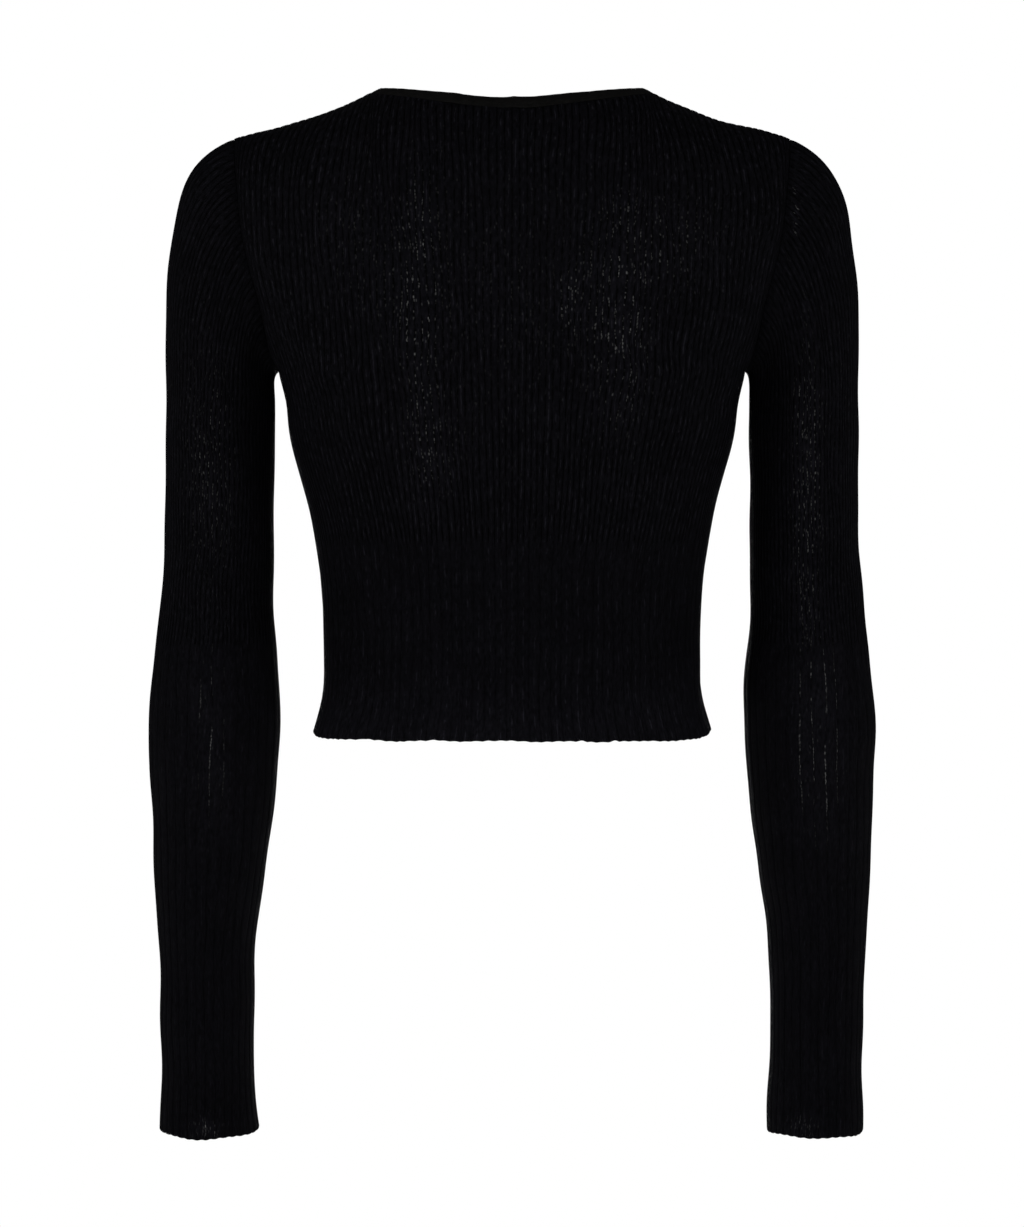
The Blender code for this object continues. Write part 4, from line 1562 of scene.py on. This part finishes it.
@dataclass
class Sleeves:
    """Both sleeves, each in one piece from armhole to cuff."""

    form: SleeveForm = SleeveForm()
    ribs: int = 80
    fine_in_wide: float = 2.5
    samples: int = 6  # columns for each fine rib
    row_step: float = 0.0045
    change_height: float = -0.338
    seam_radius: float = 0.0022
    seam_sink: float = 0.0002
    under_sink: float = 0.0005  # of the seam under the arm
    under_radius: float = 0.033  # the arm's there
    flare: float = 0.0007  # how far the cuff waves in and out
    scallop: float = 0.0005
    cuff_wave: float = 0.0006
    cuff_drop: float = 0.0018  # how far the cuff's weight draws it down
    cuff_reach: float = 0.006  # how far up the cuff its small waves reach
    wales: float = 4.0
    course: float = 0.00085
    sway: Uneven = Uneven(0.4, 7.0, 0.07)
    bumps: Uneven = Uneven(0.0006, 0.05, 0.06)
    apart: float = 400.0  # courses between the sleeves, so that their yarn doesn't match
    folds: tuple[Fold, ...] = (
        Fold((0.156, 0.024, -0.336), (0.182, 0.037, -0.342), 0.0048, 0.0011),
        Fold((0.172, 0.037, -0.352), (0.206, 0.026, -0.346), 0.0052, 0.0012),
        Fold((0.152, 0.018, -0.357), (0.176, 0.034, -0.362), 0.0045, 0.0009),
        Fold((-0.154, 0.022, -0.343), (-0.180, 0.037, -0.337), 0.0050, 0.0012),
        Fold((-0.174, 0.037, -0.350), (-0.208, 0.024, -0.356), 0.0050, 0.0010),
        Fold((-0.156, 0.020, -0.364), (-0.178, 0.034, -0.360), 0.0045, 0.0010),
        Fold((0.152, -0.034, -0.338), (0.188, -0.044, -0.346), 0.0075, 0.0022),
        Fold((0.160, -0.040, -0.362), (0.204, -0.040, -0.352), 0.0080, 0.0020),
        Fold((-0.150, -0.032, -0.344), (-0.186, -0.044, -0.338), 0.0075, 0.0021),
        Fold((-0.162, -0.042, -0.360), (-0.206, -0.038, -0.366), 0.0080, 0.0020),
        Fold((0.150, 0.026, -0.176), (0.163, 0.036, -0.135), 0.0055, 0.0014),
        Fold((-0.150, 0.026, -0.178), (-0.164, 0.036, -0.142), 0.0055, 0.0013),
        Fold((0.150, -0.028, -0.178), (0.166, -0.040, -0.140), 0.0060, 0.0017),
        Fold((-0.150, -0.028, -0.176), (-0.164, -0.040, -0.136), 0.0060, 0.0017),
        Fold((0.181, -0.013, -0.626), (0.190, -0.013, -0.636), 0.0016, 0.0009),
        Fold((0.190, -0.013, -0.625), (0.198, -0.015, -0.635), 0.0015, 0.0008),
        Fold((-0.166, -0.021, -0.626), (-0.175, -0.016, -0.636), 0.0016, 0.0010),
        Fold((-0.175, -0.016, -0.624), (-0.184, -0.013, -0.634), 0.0016, 0.0009),
    )

    def rows(self) -> tuple[Array, Array]:
        """Rows of the cap, 0 at the armhole to 1, and the heights of the rows below it.

        Returns:
            Both, from the armhole down.
        """
        cap = thirds(spaced((0.0, 0.004, 0.002), (0.004, 0.032, 0.007), (0.032, 1.0, 0.028)))
        cuff, top = SLEEVE_RINGS[0, 0], SLEEVE_RINGS[0, -1]
        near = 0.004
        tube = spaced(
            (top, self.change_height + near, -self.row_step),
            (self.change_height + near, self.change_height - near, -0.0013),
            (self.change_height - near, cuff + 0.003, -self.row_step),
            (cuff + 0.003, cuff + 0.0006, -0.0008),
            (cuff + 0.0006, cuff, -0.0002),
        )
        return cap, thirds(tube)[1:]

    def slid(self, grid: Array, places: Array) -> Array:
        """A grid that closes round the arm, read between its columns at each row's own places.

        Args:
            grid: points or numbers, in rows down the arm.
            places: where to read each row, in columns.

        Returns:
            The grid as read.
        """
        columns = grid.shape[1]
        low = np.floor(places).astype(int)
        part = (places - low)[..., None]
        row = np.arange(len(grid))[:, None]
        return grid[row, low % columns] * (1 - part) + grid[row, (low + 1) % columns] * part

    def laid(self, seed: int) -> tuple[Array, Array, Array, Array]:
        """The smooth sleeve, whose ribs waver a little round the arm.

        Args:
            seed: picks the wavering.

        Returns:
            Points, directions, distances from the armhole, and fine ribs round the arm.
        """
        cap, heights = self.rows()
        columns = self.ribs * self.samples
        smooth, normals = self.form.surface(columns, cap, heights)
        down = lengths(smooth, 0)
        count = np.arange(columns)[None] / self.samples
        window = np.sin(np.pi * count / self.ribs) ** 0.5
        sway = self.sway.at(count, np.mean(down, axis=1)[:, None], seed) * window
        places = (count + sway) * self.samples
        down = self.slid(down[..., None], places)[..., 0]
        return self.slid(smooth, places), unit(self.slid(normals, places)), down, count

    def relief(self, base: Array, down: Array, count: Array, way: int, seed: int) -> Array:
        """How far the knit stands off the form.

        The ribs, less the folds and a slow unevenness, drawn in along the armhole and under the
        arm, and waving in and out at the cuff.

        Args:
            base: points on the form.
            down: distances from the armhole.
            count: fine ribs round the arm.
            way: 1 or -1, the side of the wearer.
            seed: picks the unevenness.

        Returns:
            Distance past the form.
        """
        seen, height = base * np.array([way, 1.0, 1.0]), base[..., 2]
        ribbing = Ribbing(self.change_height, seed=seed + 1, fine_in_wide=self.fine_in_wide)
        relief = ribbing.relief(count, height)
        relief = relief * ease(down / (1.6 * self.seam_radius)) + sum(fold.at(seen) for fold in self.folds)
        relief = (relief + self.bumps.at(seen[..., 0], height, seed + 2)) * ease(down / 0.010)
        around = 2 * np.pi * count / self.ribs
        under = np.minimum(around, 2 * np.pi - around) * self.under_radius
        sink = self.seam_sink * (1 - ease(down / self.seam_radius))
        sink = sink + self.under_sink * (1 - ease(under / self.seam_radius)) * ease(down / 0.01)
        flare = np.sin(2 * around + 0.7 * way) + 0.6 * np.sin(3 * around + 1.9)
        return relief - sink + self.flare * flare * np.exp(-(down[-1:] - down) / 0.016)

    def sleeve(self, side: Side) -> None:
        """One sleeve. The cuff rolls in, hangs in small scallops and waves a little up and down.

        Args:
            side: which sleeve.
        """
        way, seed = side.value, 40 + 6 * side.value
        base, normal, down, count = self.laid(seed)
        relief = self.relief(base, down, count, way, seed)
        to_cuff = down[-1:] - down
        outer, inner = walls(base, normal, relief, 0.0, roll_in(to_cuff, CUT.wall / 2))
        around = 2 * np.pi * count / self.ribs
        scallop = 0.5 - 0.5 * np.cos(2 * np.pi * count / self.fine_in_wide)
        wave = np.sin(2 * around + way) + 0.7 * np.sin(5 * around + 2.2 * way)
        lift = (self.scallop * scallop + self.cuff_wave * wave) * np.exp(-to_cuff / self.cuff_reach)
        lift = lift - self.cuff_drop * np.exp(-to_cuff / 0.03)
        for face in (outer, inner):
            face[..., 2] += lift
            face *= np.array([way, 1.0, 1.0])
        name = side.name.lower()
        courses = wrap(to_cuff) / self.course + self.apart * (way < 0)
        wales = np.append(count[0], self.ribs)[None] * self.wales
        pull = painted_light_at(outer)
        made = Shell(f"knit_sleeve_{name}", outer, inner[::WALL_ROWS], wales, courses, True, pull).build()
        cloth = ClothPiece(f"sleeve_{name}", (0.330, 0.600), 0.125, ("back_panel", f"front_{name}"))
        cloth.settle(made, Finish.SLEEVE_KNIT)

    def build(self) -> None:
        """Makes both sleeves."""
        for side in Side:
            self.sleeve(side)


@dataclass
class NeckTrim:
    """The doubled knit trim round the neck, from its end under the buttonhole band to its end on top."""

    station: float = 0.0021  # length between columns
    end_stations: tuple[float, ...] = (0.0002, 0.0005, 0.001)  # closer columns at both ends
    turns: int = 91  # columns of the smooth form on each half
    wale: float = 0.0013
    course: float = 0.00085
    wale_depth: float = 0.00016
    join_out: float = 0.032  # where the trim's two ends were linked, on the back
    join_step: float = 0.00035
    join_sink: float = 0.0005
    lip: float = 0.0011  # how far the lower edge laps over the panels
    lip_wall: float = 0.0008
    margin: float = 0.0016  # how far each end passes the other end's band
    cut_width: float = 0.0135  # the strip before it is doubled
    shows: float = 0.6  # the share of it that isn't turned under
    bumps: Uneven = Uneven(0.00018, 1.5, 0.012, 5)

    def path(self, half: TorsoHalf, angles: Array, across: Array) -> tuple[Array, Array]:
        """The form under the trim on one half of the torso.

        Args:
            half: back or front.
            angles: columns, 0 at the centre to a right angle on the ridge.
            across: rows, 0 at the lower edge to 1 at the neck.

        Returns:
            Points and directions.
        """
        lower = np.stack(half.neck_line(angles, CUT.neck_trim_width), -1)
        upper = np.stack(half.neck_line(angles, 0.0), -1)
        share = across[:, None, None]
        turn, rise = np.moveaxis(lower + (upper - lower) * share, -1, 0)
        return half.point(turn, rise), half.normal(turn, rise)

    def laid(self, across: Array) -> tuple[Array, Array, Array, Array]:
        """The form under the trim, read at even distances along it.

        Args:
            across: rows, 0 at the lower edge to 1 at the neck.

        Returns:
            Points, directions smoothed over five columns, distances along the trim, and how far
            each column lies in the end that laps over.
        """
        end = FRONT.neck_angle(CUT.band_width / 2 + self.margin, CUT.neck_trim_width)
        front = np.linspace(-end, QUARTER, self.turns + 1)
        under = self.path(FRONT, front, across)
        behind = self.path(BACK, np.linspace(QUARTER, -QUARTER, self.turns), across)
        over = self.path(FRONT, -front[::-1], across)
        face, normal = (
            np.concatenate([a, b[:, 1:], c[:, 1:]], axis=1) for a, b, c in zip(under, behind, over)
        )
        run = lengths(face[len(across) // 2], 0)
        even = np.linspace(0.0, run[-1], round(run[-1] / self.station) + 1)[1:-1]
        near = np.array(self.end_stations)
        even = np.concatenate([[0.0], near, even, run[-1] - near[::-1], run[-1:]])

        place = np.interp(even, run, np.arange(len(run)))
        low = np.minimum(place.astype(int), len(run) - 2)
        part = (place - low)[None, :, None]
        face, normal = (grid[:, low] * (1 - part) + grid[:, low + 1] * part for grid in (face, normal))
        padded = np.pad(unit(normal), ((0, 0), (2, 2), (0, 0)), mode="edge")
        normal = unit(sum(padded[:, k : k + len(even)] for k in range(5)))
        overlap = np.interp(even, run, (np.arange(len(run)) >= len(run) - len(front)).astype(float))
        return face, normal, even, overlap

    def build(self) -> None:
        """Makes the trim.

        Its face is the form raised by half a millimetre, in soft lengthwise wales, and both long
        edges and both ends roll over by half the trim's wall. Its lower edge laps over the panels'
        sunk edge with a thin lip, which is stepped on its inner side.
        """
        width, thick = CUT.neck_trim_width, CUT.trim_wall
        across = thirds(edged(width, 0.00032, (0.0003, 0.0001), (0.0012, 0.0003))) / width
        face, normal, even, overlap = self.laid(across)
        out, back = face[..., 0], face[..., 1]
        from_edge = np.minimum(across, 1 - across)[:, None] * width
        from_end = np.minimum(even, even[-1] - even)[None]
        wales = across * width / self.wale
        furrows = (0.5 + 0.5 * np.cos(2 * np.pi * wales))[:, None]
        relief = -self.wale_depth * furrows * ease(from_edge / 0.0008)
        on_back = (back > 0.0) & (out > 0.0)
        join = bell((out - self.join_out) / 0.0007) * on_back
        relief = relief + self.bumps.at(across[:, None], even[None]) - self.join_sink * join
        rounding = np.maximum(roll_in(from_edge, thick / 2), roll_in(from_end, thick / 4))
        lift = CUT.lap(-out) * (thick + CUT.seam) / (CUT.wall + CUT.seam) * overlap + CUT.trim_proud
        outer, inner = walls(face, normal, lift, relief, rounding, thick)
        inner = inner[::WALL_ROWS]

        down = unit(face[0] - face[-1])
        outer = outer + down * (self.lip * (1 - ease(across * width / 0.0022)))[:, None, None]
        under = face[0] + (lift[0] - self.lip_wall)[:, None] * normal[0]
        inner[0] = under + down * (self.lip - 0.0002)
        inner[1] = under + down * 0.00005
        sag = np.where(on_back[0], ease((self.join_out - out[0]) / 0.0012 + 0.5), 0.0) * self.join_step
        outer[..., 2] -= sag * across[:, None]
        inner[..., 2] -= sag * across[::WALL_ROWS, None]
        made = Shell("trim_neck", outer, inner, wales[:, None], even[None] / self.course).build()
        cut = (self.cut_width, float(even[-1]))
        panels = ("back_panel", "front_left", "front_right")
        cloth = ClothPiece("neck_trim", cut, cut[0] * cut[1] * self.shows, panels)
        cloth.settle(made, Finish.TRIM_KNIT)


class Band(Enum):
    """A front band: how far it stands off the form."""

    BUTTONS = 0.0
    BUTTONHOLES = CUT.wall + CUT.seam


@dataclass
class FrontBands:
    """The two narrow ribbed bands at the centre front, one over the other."""

    columns: int = 73
    row_step: float = 0.0018
    rib: float = 0.0018
    rib_crest: float = 0.0001
    rib_depth: float = 0.00030
    rib_round: float = 1.6  # power of the furrow's curve
    margin: float = 0.0016  # how far each band's free edge passes the other band's seam
    course: float = 0.00085
    length: float = 0.282  # of the form from hem to neck, to space the rows by
    slit: float = 0.0066  # half the length of a buttonhole
    slit_depth: float = 0.0009
    worked_out: float = 0.0011  # how far from the slit its worked edges lie
    worked_height: float = 0.00022
    bumps: Uneven = Uneven(0.0002, 0.02, 0.03, 61, 4)
    button_heights: tuple[float, ...] = ()

    def buttonholes(self, relief: Array, out: Array, height: Array) -> Array:
        """The band's relief with a slit at each button, sunk between two worked edges.

        Args:
            relief: the band's own relief.
            out: how far out each column lies.
            height: the height of each point.

        Returns:
            The relief with its buttonholes.
        """
        worked = bell((np.abs(out) - self.worked_out) / 0.0006) * self.worked_height
        slit = worked - self.slit_depth * bell(out / 0.00035)
        for middle in self.button_heights:
            near = ease((self.slit + 0.0008 - np.abs(height - middle)) / 0.0012)
            relief = relief * (1 - near * bell(out / 0.0016)) + near * slit
        return relief

    def band(self, name: str, node: str, kind: Band) -> None:
        """One band: the form plus the band's lift, in even lengthwise ribs.

        Args:
            name: the piece's name.
            node: the solid that it stands for.
            kind: which band.
        """
        half, middle = CUT.band_width / 2, self.columns // 2
        over, beneath = kind is Band.BUTTONHOLES, kind is Band.BUTTONS
        out = np.linspace(-half - self.margin * beneath, half + self.margin * over, self.columns)
        angle = np.array([FRONT.neck_angle(abs(x), CUT.panel_below_neck) for x in out])
        top = FRONT.neck_line(angle, CUT.panel_below_neck)[1]
        share = thirds(edged(self.length, self.row_step, (0.0006, 0.0002), (0.003, 0.0008)) / self.length)
        rise = -1.0 + share[:, None] * (top[None] + 1.0)
        turn = np.sign(out)[None] * FRONT.turn_at(np.abs(out), rise[:, middle])
        base, normal = FRONT.point(turn, rise), FRONT.normal(turn, rise)
        along = lengths(base, 0)
        from_end = np.minimum(along, along[-1:] - along)
        from_side = np.minimum(out - out[0], out[-1] - out)[None]

        rib = 0.5 + 0.5 * np.cos(2 * np.pi * out / self.rib)
        relief = self.rib_crest - self.rib_depth * (rib**self.rib_round)[None] * ease(from_side / 0.0012)
        relief = relief + self.bumps.at(out[None], along, len(name))
        if over:
            relief = self.buttonholes(relief, out, base[..., 2])
        rounding = np.maximum(roll_in(from_end, CUT.wall / 2), roll_in(from_side, CUT.wall / 2))
        outer, inner = walls(base, normal, kind.value, relief, rounding)
        wales = ((out + half) / self.rib * 2)[None]
        made = Shell(name, outer, inner[::WALL_ROWS], wales, along / self.course).build()
        cloth = ClothPiece(node, (0.0206, 0.285), 0.00585, ("front_left",))
        cloth.settle(made, Finish.TRIM_KNIT)

    def build(self) -> None:
        """Makes both bands."""
        self.band("band_buttons", "button_band", Band.BUTTONS)
        self.band("band_buttonholes", "buttonhole_band", Band.BUTTONHOLES)


@dataclass
class Buttons:
    """Seven round buttons with a raised rim, a dish and four sewn holes."""

    count: int = 7
    radius: float = 0.0055
    thickness: float = 0.0024
    floor: float = 0.0014  # the dish's height above the back
    hole_out: float = 0.00125  # holes lie this far from the middle, along and across
    hole_radius: float = 0.00055
    around: int = 96
    strand: float = 0.00018  # half a thread's thickness
    strand_points: int = 15

    def centre(self, number: int) -> Array:
        """The middle of a button."""
        low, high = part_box(f"button_{number}")
        return (np.array(low) + np.array(high)) / 2

    def placed(self, number: int, points: Array) -> Array:
        """Points of a button that lies flat, moved and tipped onto its place on the band.

        Args:
            number: which button, from the top.
            points: places in a button on its back round the origin.

        Returns:
            The places on the garment.
        """
        centre = self.centre(number)
        axis = FRONT.normal(np.array(0.0), np.array(FRONT.rise_at(centre[2])))
        across = np.array([1.0, 0.0, 0.0])
        lying = np.stack([across, np.cross(axis, across), axis])
        return centre + (points - np.array([0.0, 0.0, self.thickness / 2])) @ lying

    def outline(self) -> tuple[Array, Array]:
        """Radius and height round a button's section, from the middle of its face to its back.

        Returns:
            Both, for each point of the section.
        """
        share = np.array(
            [
                (0.0, 0.0), (0.05, 0.0), (0.10, 0.0), (0.15, 0.0), (0.20, 0.0), (0.24, 0.0), (0.28, 0.0),
                (0.32, 0.0), (0.36, 0.0), (0.40, 0.0), (0.44, 0.0), (0.48, 0.005), (0.54, 0.03), (0.60, 0.14),
                (0.66, 0.42), (0.71, 0.72), (0.76, 0.91), (0.82, 1.0), (0.87, 0.98), (0.92, 0.86),
                (0.96, 0.62), (0.985, 0.28), (1.0, -0.20), (0.985, -0.62), (0.94, -0.98), (0.86, -1.32),
                (0.72, -1.50), (0.40, -1.555), (0.0, -1.555),
            ]
        )
        return share[:, 0] * self.radius, self.floor + share[:, 1] * (self.thickness - self.floor)

    def button(self, number: int) -> None:
        """One button, turned from its outline. Each hole is a pit that reaches the back.

        Args:
            number: which button, from the top.
        """
        radii, heights = self.outline()
        last = int(np.argmax(np.abs(np.diff(np.sign(np.diff(radii)))) > 0)) + 1
        steps = np.linspace(0, len(radii) - 1, 3 * (len(radii) - 1) + 1)
        spots = np.arange(len(radii))
        fine_radii, fine_heights = np.interp(steps, spots, radii), np.interp(steps, spots, heights)
        turn = np.linspace(0.0, 2 * np.pi, self.around, endpoint=False) + np.pi / 4
        x = fine_radii[1:-1, None] * np.cos(turn)
        y = fine_radii[1:-1, None] * np.sin(turn)
        z = np.broadcast_to(fine_heights[1:-1, None], x.shape).copy()
        on_face = (steps[1:-1] <= last)[:, None]
        away = np.hypot(np.abs(x) - self.hole_out, np.abs(y) - self.hole_out)
        depth = 1 - ease((away - 0.7 * self.hole_radius) / (0.5 * self.hole_radius))
        z -= np.where(on_face, depth * (self.floor - 0.0001), 0.0)
        rings = np.stack([x, y, z], -1).reshape(-1, 3)
        poles = np.array([[0.0, 0.0, fine_heights[0]], [0.0, 0.0, fine_heights[-1]]])
        index = wrap(numbered(*x.shape))
        faces = between(index.T[:-1], index.T[1:]).tolist()
        top, bottom = x.size, x.size + 1
        faces += [[top, a, b] for a, b in zip(index[0, :-1].tolist(), index[0, 1:].tolist())]
        faces += [[bottom, b, a] for a, b in zip(index[-1, :-1].tolist(), index[-1, 1:].tolist())]
        points = self.placed(number, np.concatenate([rings, poles]))
        made = made_of(f"button_face_{number}", points, faces)
        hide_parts(f"button_{number}")
        self.settle(made, Finish.RESIN)

    def thread(self, number: int) -> None:
        """The sewing thread of one button: two bars of three strands, each an arch from hole to hole.

        Args:
            number: which button, from the top.
        """
        t = np.linspace(0.0, 1.0, self.strand_points)
        around = np.linspace(0.0, 2 * np.pi, 8, endpoint=False)
        arch, size = np.sin(np.pi * t), len(t) * len(around)
        points, faces = [], []
        for bar, strand in product((-1, 1), (-1, 0, 1)):
            x = bar * self.hole_out + strand * 1.7 * self.strand * arch**0.5
            y = self.hole_out * (2 * t - 1)
            z = self.floor + 0.0004 * arch - 0.0008 * (1 - arch) ** 3 + (0.0001 if strand == 0 else 0.0)
            path = np.stack([x, y, z], -1)
            side = np.broadcast_to([1.0, 0.0, 0.0], path.shape)
            up = unit(np.cross(unit(np.gradient(path, axis=0)), side))
            ring = side[:, None] * np.cos(around)[:, None] + up[:, None] * np.sin(around)[:, None]
            index = wrap(numbered(len(t), len(around), len(points) * size))
            points.append((path[:, None] + self.strand * ring).reshape(-1, 3))
            faces += between(index[:-1], index[1:]).tolist()
            faces += [index[0, :-1][::-1].tolist(), index[-1, :-1].tolist()]
        points = self.placed(number, np.concatenate(points))
        self.settle(made_of(f"button_thread_{number}", points, faces), Finish.THREAD)

    def settle(self, made: bpy.types.Object, finish: Finish) -> None:
        """Dresses a piece of a button and fixes it to the body.

        Args:
            made: the piece.
            finish: its finish.
        """
        made.data.materials.append(finish.material())
        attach(made, "root")

    def build(self) -> None:
        """Makes every button and its thread."""
        for number in range(1, self.count + 1):
            self.button(number)
            self.thread(number)
        LOG.info("%d buttons", self.count)


# ------------------------------------------------------------------ floor, light and camera


def aimed(data: bpy.types.ID, place: Vector, aim: Array) -> bpy.types.Object:
    """A lamp or a camera at a place, turned to face the aim.

    Args:
        data: the lamp or the camera.
        place: where it stands.
        aim: the point it faces.

    Returns:
        Its object.
    """
    made = bpy.data.objects.new(data.name, data)
    made.location = place
    made.rotation_euler = (Vector(aim) - place).to_track_quat("-Z", "Y").to_euler()
    bpy.context.scene.collection.objects.link(made)
    return made


@dataclass(frozen=True)
class SoftBox:
    """A soft lamp that faces the garment."""

    azimuth: float  # degrees round from the garment's back
    height: float
    distance: float
    size: tuple[float, float]
    power: float

    def build(self, aim: Array) -> None:
        """Makes the lamp, turned to face the aim.

        Args:
            aim: the point it faces.
        """
        data = bpy.data.lights.new(f"softbox_{self.azimuth:g}_{self.height:g}", "AREA")
        data.shape = "RECTANGLE"
        data.size, data.size_y = self.size
        data.energy = self.power
        turn = math.radians(self.azimuth)
        place = (self.distance * math.sin(turn), self.distance * math.cos(turn), self.height)
        aimed(data, Vector(place), aim)


@dataclass
class Studio:
    """A pale floor, a white surround, soft lamps and the camera behind the garment."""

    floor_height: float = -1.4
    floor_radius: float = 3.0
    surround: float = 0.07  # how strongly the white surround lights the garment
    camera_distance: float = 3.5
    camera_height: float = -0.2
    frame_share: float = 1.166  # the frame's height for each of the garment's
    aim_above_middle: float = 0.0012
    sensor: float = 36.0
    boxes: tuple[SoftBox, ...] = (
        SoftBox(60.0, 0.75, 2.4, (1.1, 1.4), 23.0),
        SoftBox(-50.0, 0.75, 2.4, (1.1, 1.4), 23.0),
        SoftBox(0.0, 1.5, 2.6, (1.6, 0.8), 15.0),
        SoftBox(98.0, 0.5, 2.4, (1.1, 1.4), 6.0),
        SoftBox(-98.0, 0.5, 2.4, (1.1, 1.4), 5.0),
        SoftBox(176.0, -0.45, 2.4, (1.1, 0.9), 14.0),
        SoftBox(-176.0, -0.45, 2.4, (1.1, 0.9), 7.0),
    )

    def floor(self) -> None:
        """A pale matt disc."""
        turn = np.linspace(0.0, 2 * np.pi, 128, endpoint=False)
        rim = [np.cos(turn), np.sin(turn), np.full(128, self.floor_height / self.floor_radius)]
        made = made_of("floor", np.stack(rim, -1) * self.floor_radius, [list(range(128))])
        look = {
            "Base Color": (0.92, 0.92, 0.92, 1.0),
            "Roughness": 0.9,
            "Emission Color": (1.0, 1.0, 1.0, 1.0),
            "Emission Strength": 0.6,
        }
        made.data.materials.append(Nodes("pale_floor").dress(look))
        made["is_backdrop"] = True

    def world(self) -> None:
        """A surround that looks white and lights the garment softly."""
        world = bpy.data.worlds.new("surround")
        world.use_nodes = True
        tree = world.node_tree
        background = tree.nodes["Background"]
        path = tree.nodes.new("ShaderNodeLightPath")
        strength = tree.nodes.new("ShaderNodeMapRange")
        tree.links.new(path.outputs["Is Camera Ray"], strength.inputs["Value"])
        strength.inputs["To Min"].default_value = self.surround
        strength.inputs["To Max"].default_value = 1.0
        background.inputs["Color"].default_value = (1.0, 1.0, 1.0, 1.0)
        tree.links.new(strength.outputs[0], background.inputs["Strength"])
        bpy.context.scene.world = world

    def camera(self, aim: Array, height: float) -> None:
        """The camera, level with the upper arms and tipped slightly down.

        Args:
            aim: the point it faces.
            height: the garment's height.
        """
        data = bpy.data.cameras.new("camera")
        data.sensor_fit = "AUTO"
        data.sensor_width = self.sensor
        data.lens = self.sensor * self.camera_distance / (self.frame_share * height)
        place = Vector((0.0, self.camera_distance, self.camera_height))
        bpy.context.scene.camera = aimed(data, place, aim)

    def build(self) -> None:
        """Sets up the floor, the light and the camera."""
        low, high = (np.array(corner) for corner in CAD_BOX)
        aim = np.array([0.0, 0.0, (low[2] + high[2]) / 2 + self.aim_above_middle])
        bpy.context.scene.view_settings.view_transform = "Standard"
        self.floor()
        self.world()
        self.camera(aim, float(high[2] - low[2]))
        for box in self.boxes:
            box.build(aim)


# ------------------------------------------------------------------ the garment


def main() -> None:
    """Builds every piece, then the studio."""
    logging.basicConfig(level=logging.INFO, format="%(name)s: %(message)s")
    Studio().build()
    TorsoPanels().build()
    Sleeves().build()
    NeckTrim().build()
    buttons = Buttons()
    heights = tuple(float(buttons.centre(number)[2]) for number in range(1, buttons.count + 1))
    FrontBands(button_heights=heights).build()
    buttons.build()
    sizes = {"cad": CAD_BOX, "visual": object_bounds()}
    sizes = {name: [[float(x) for x in corner] for corner in box] for name, box in sizes.items()}


if __name__ == "__main__":
    main()
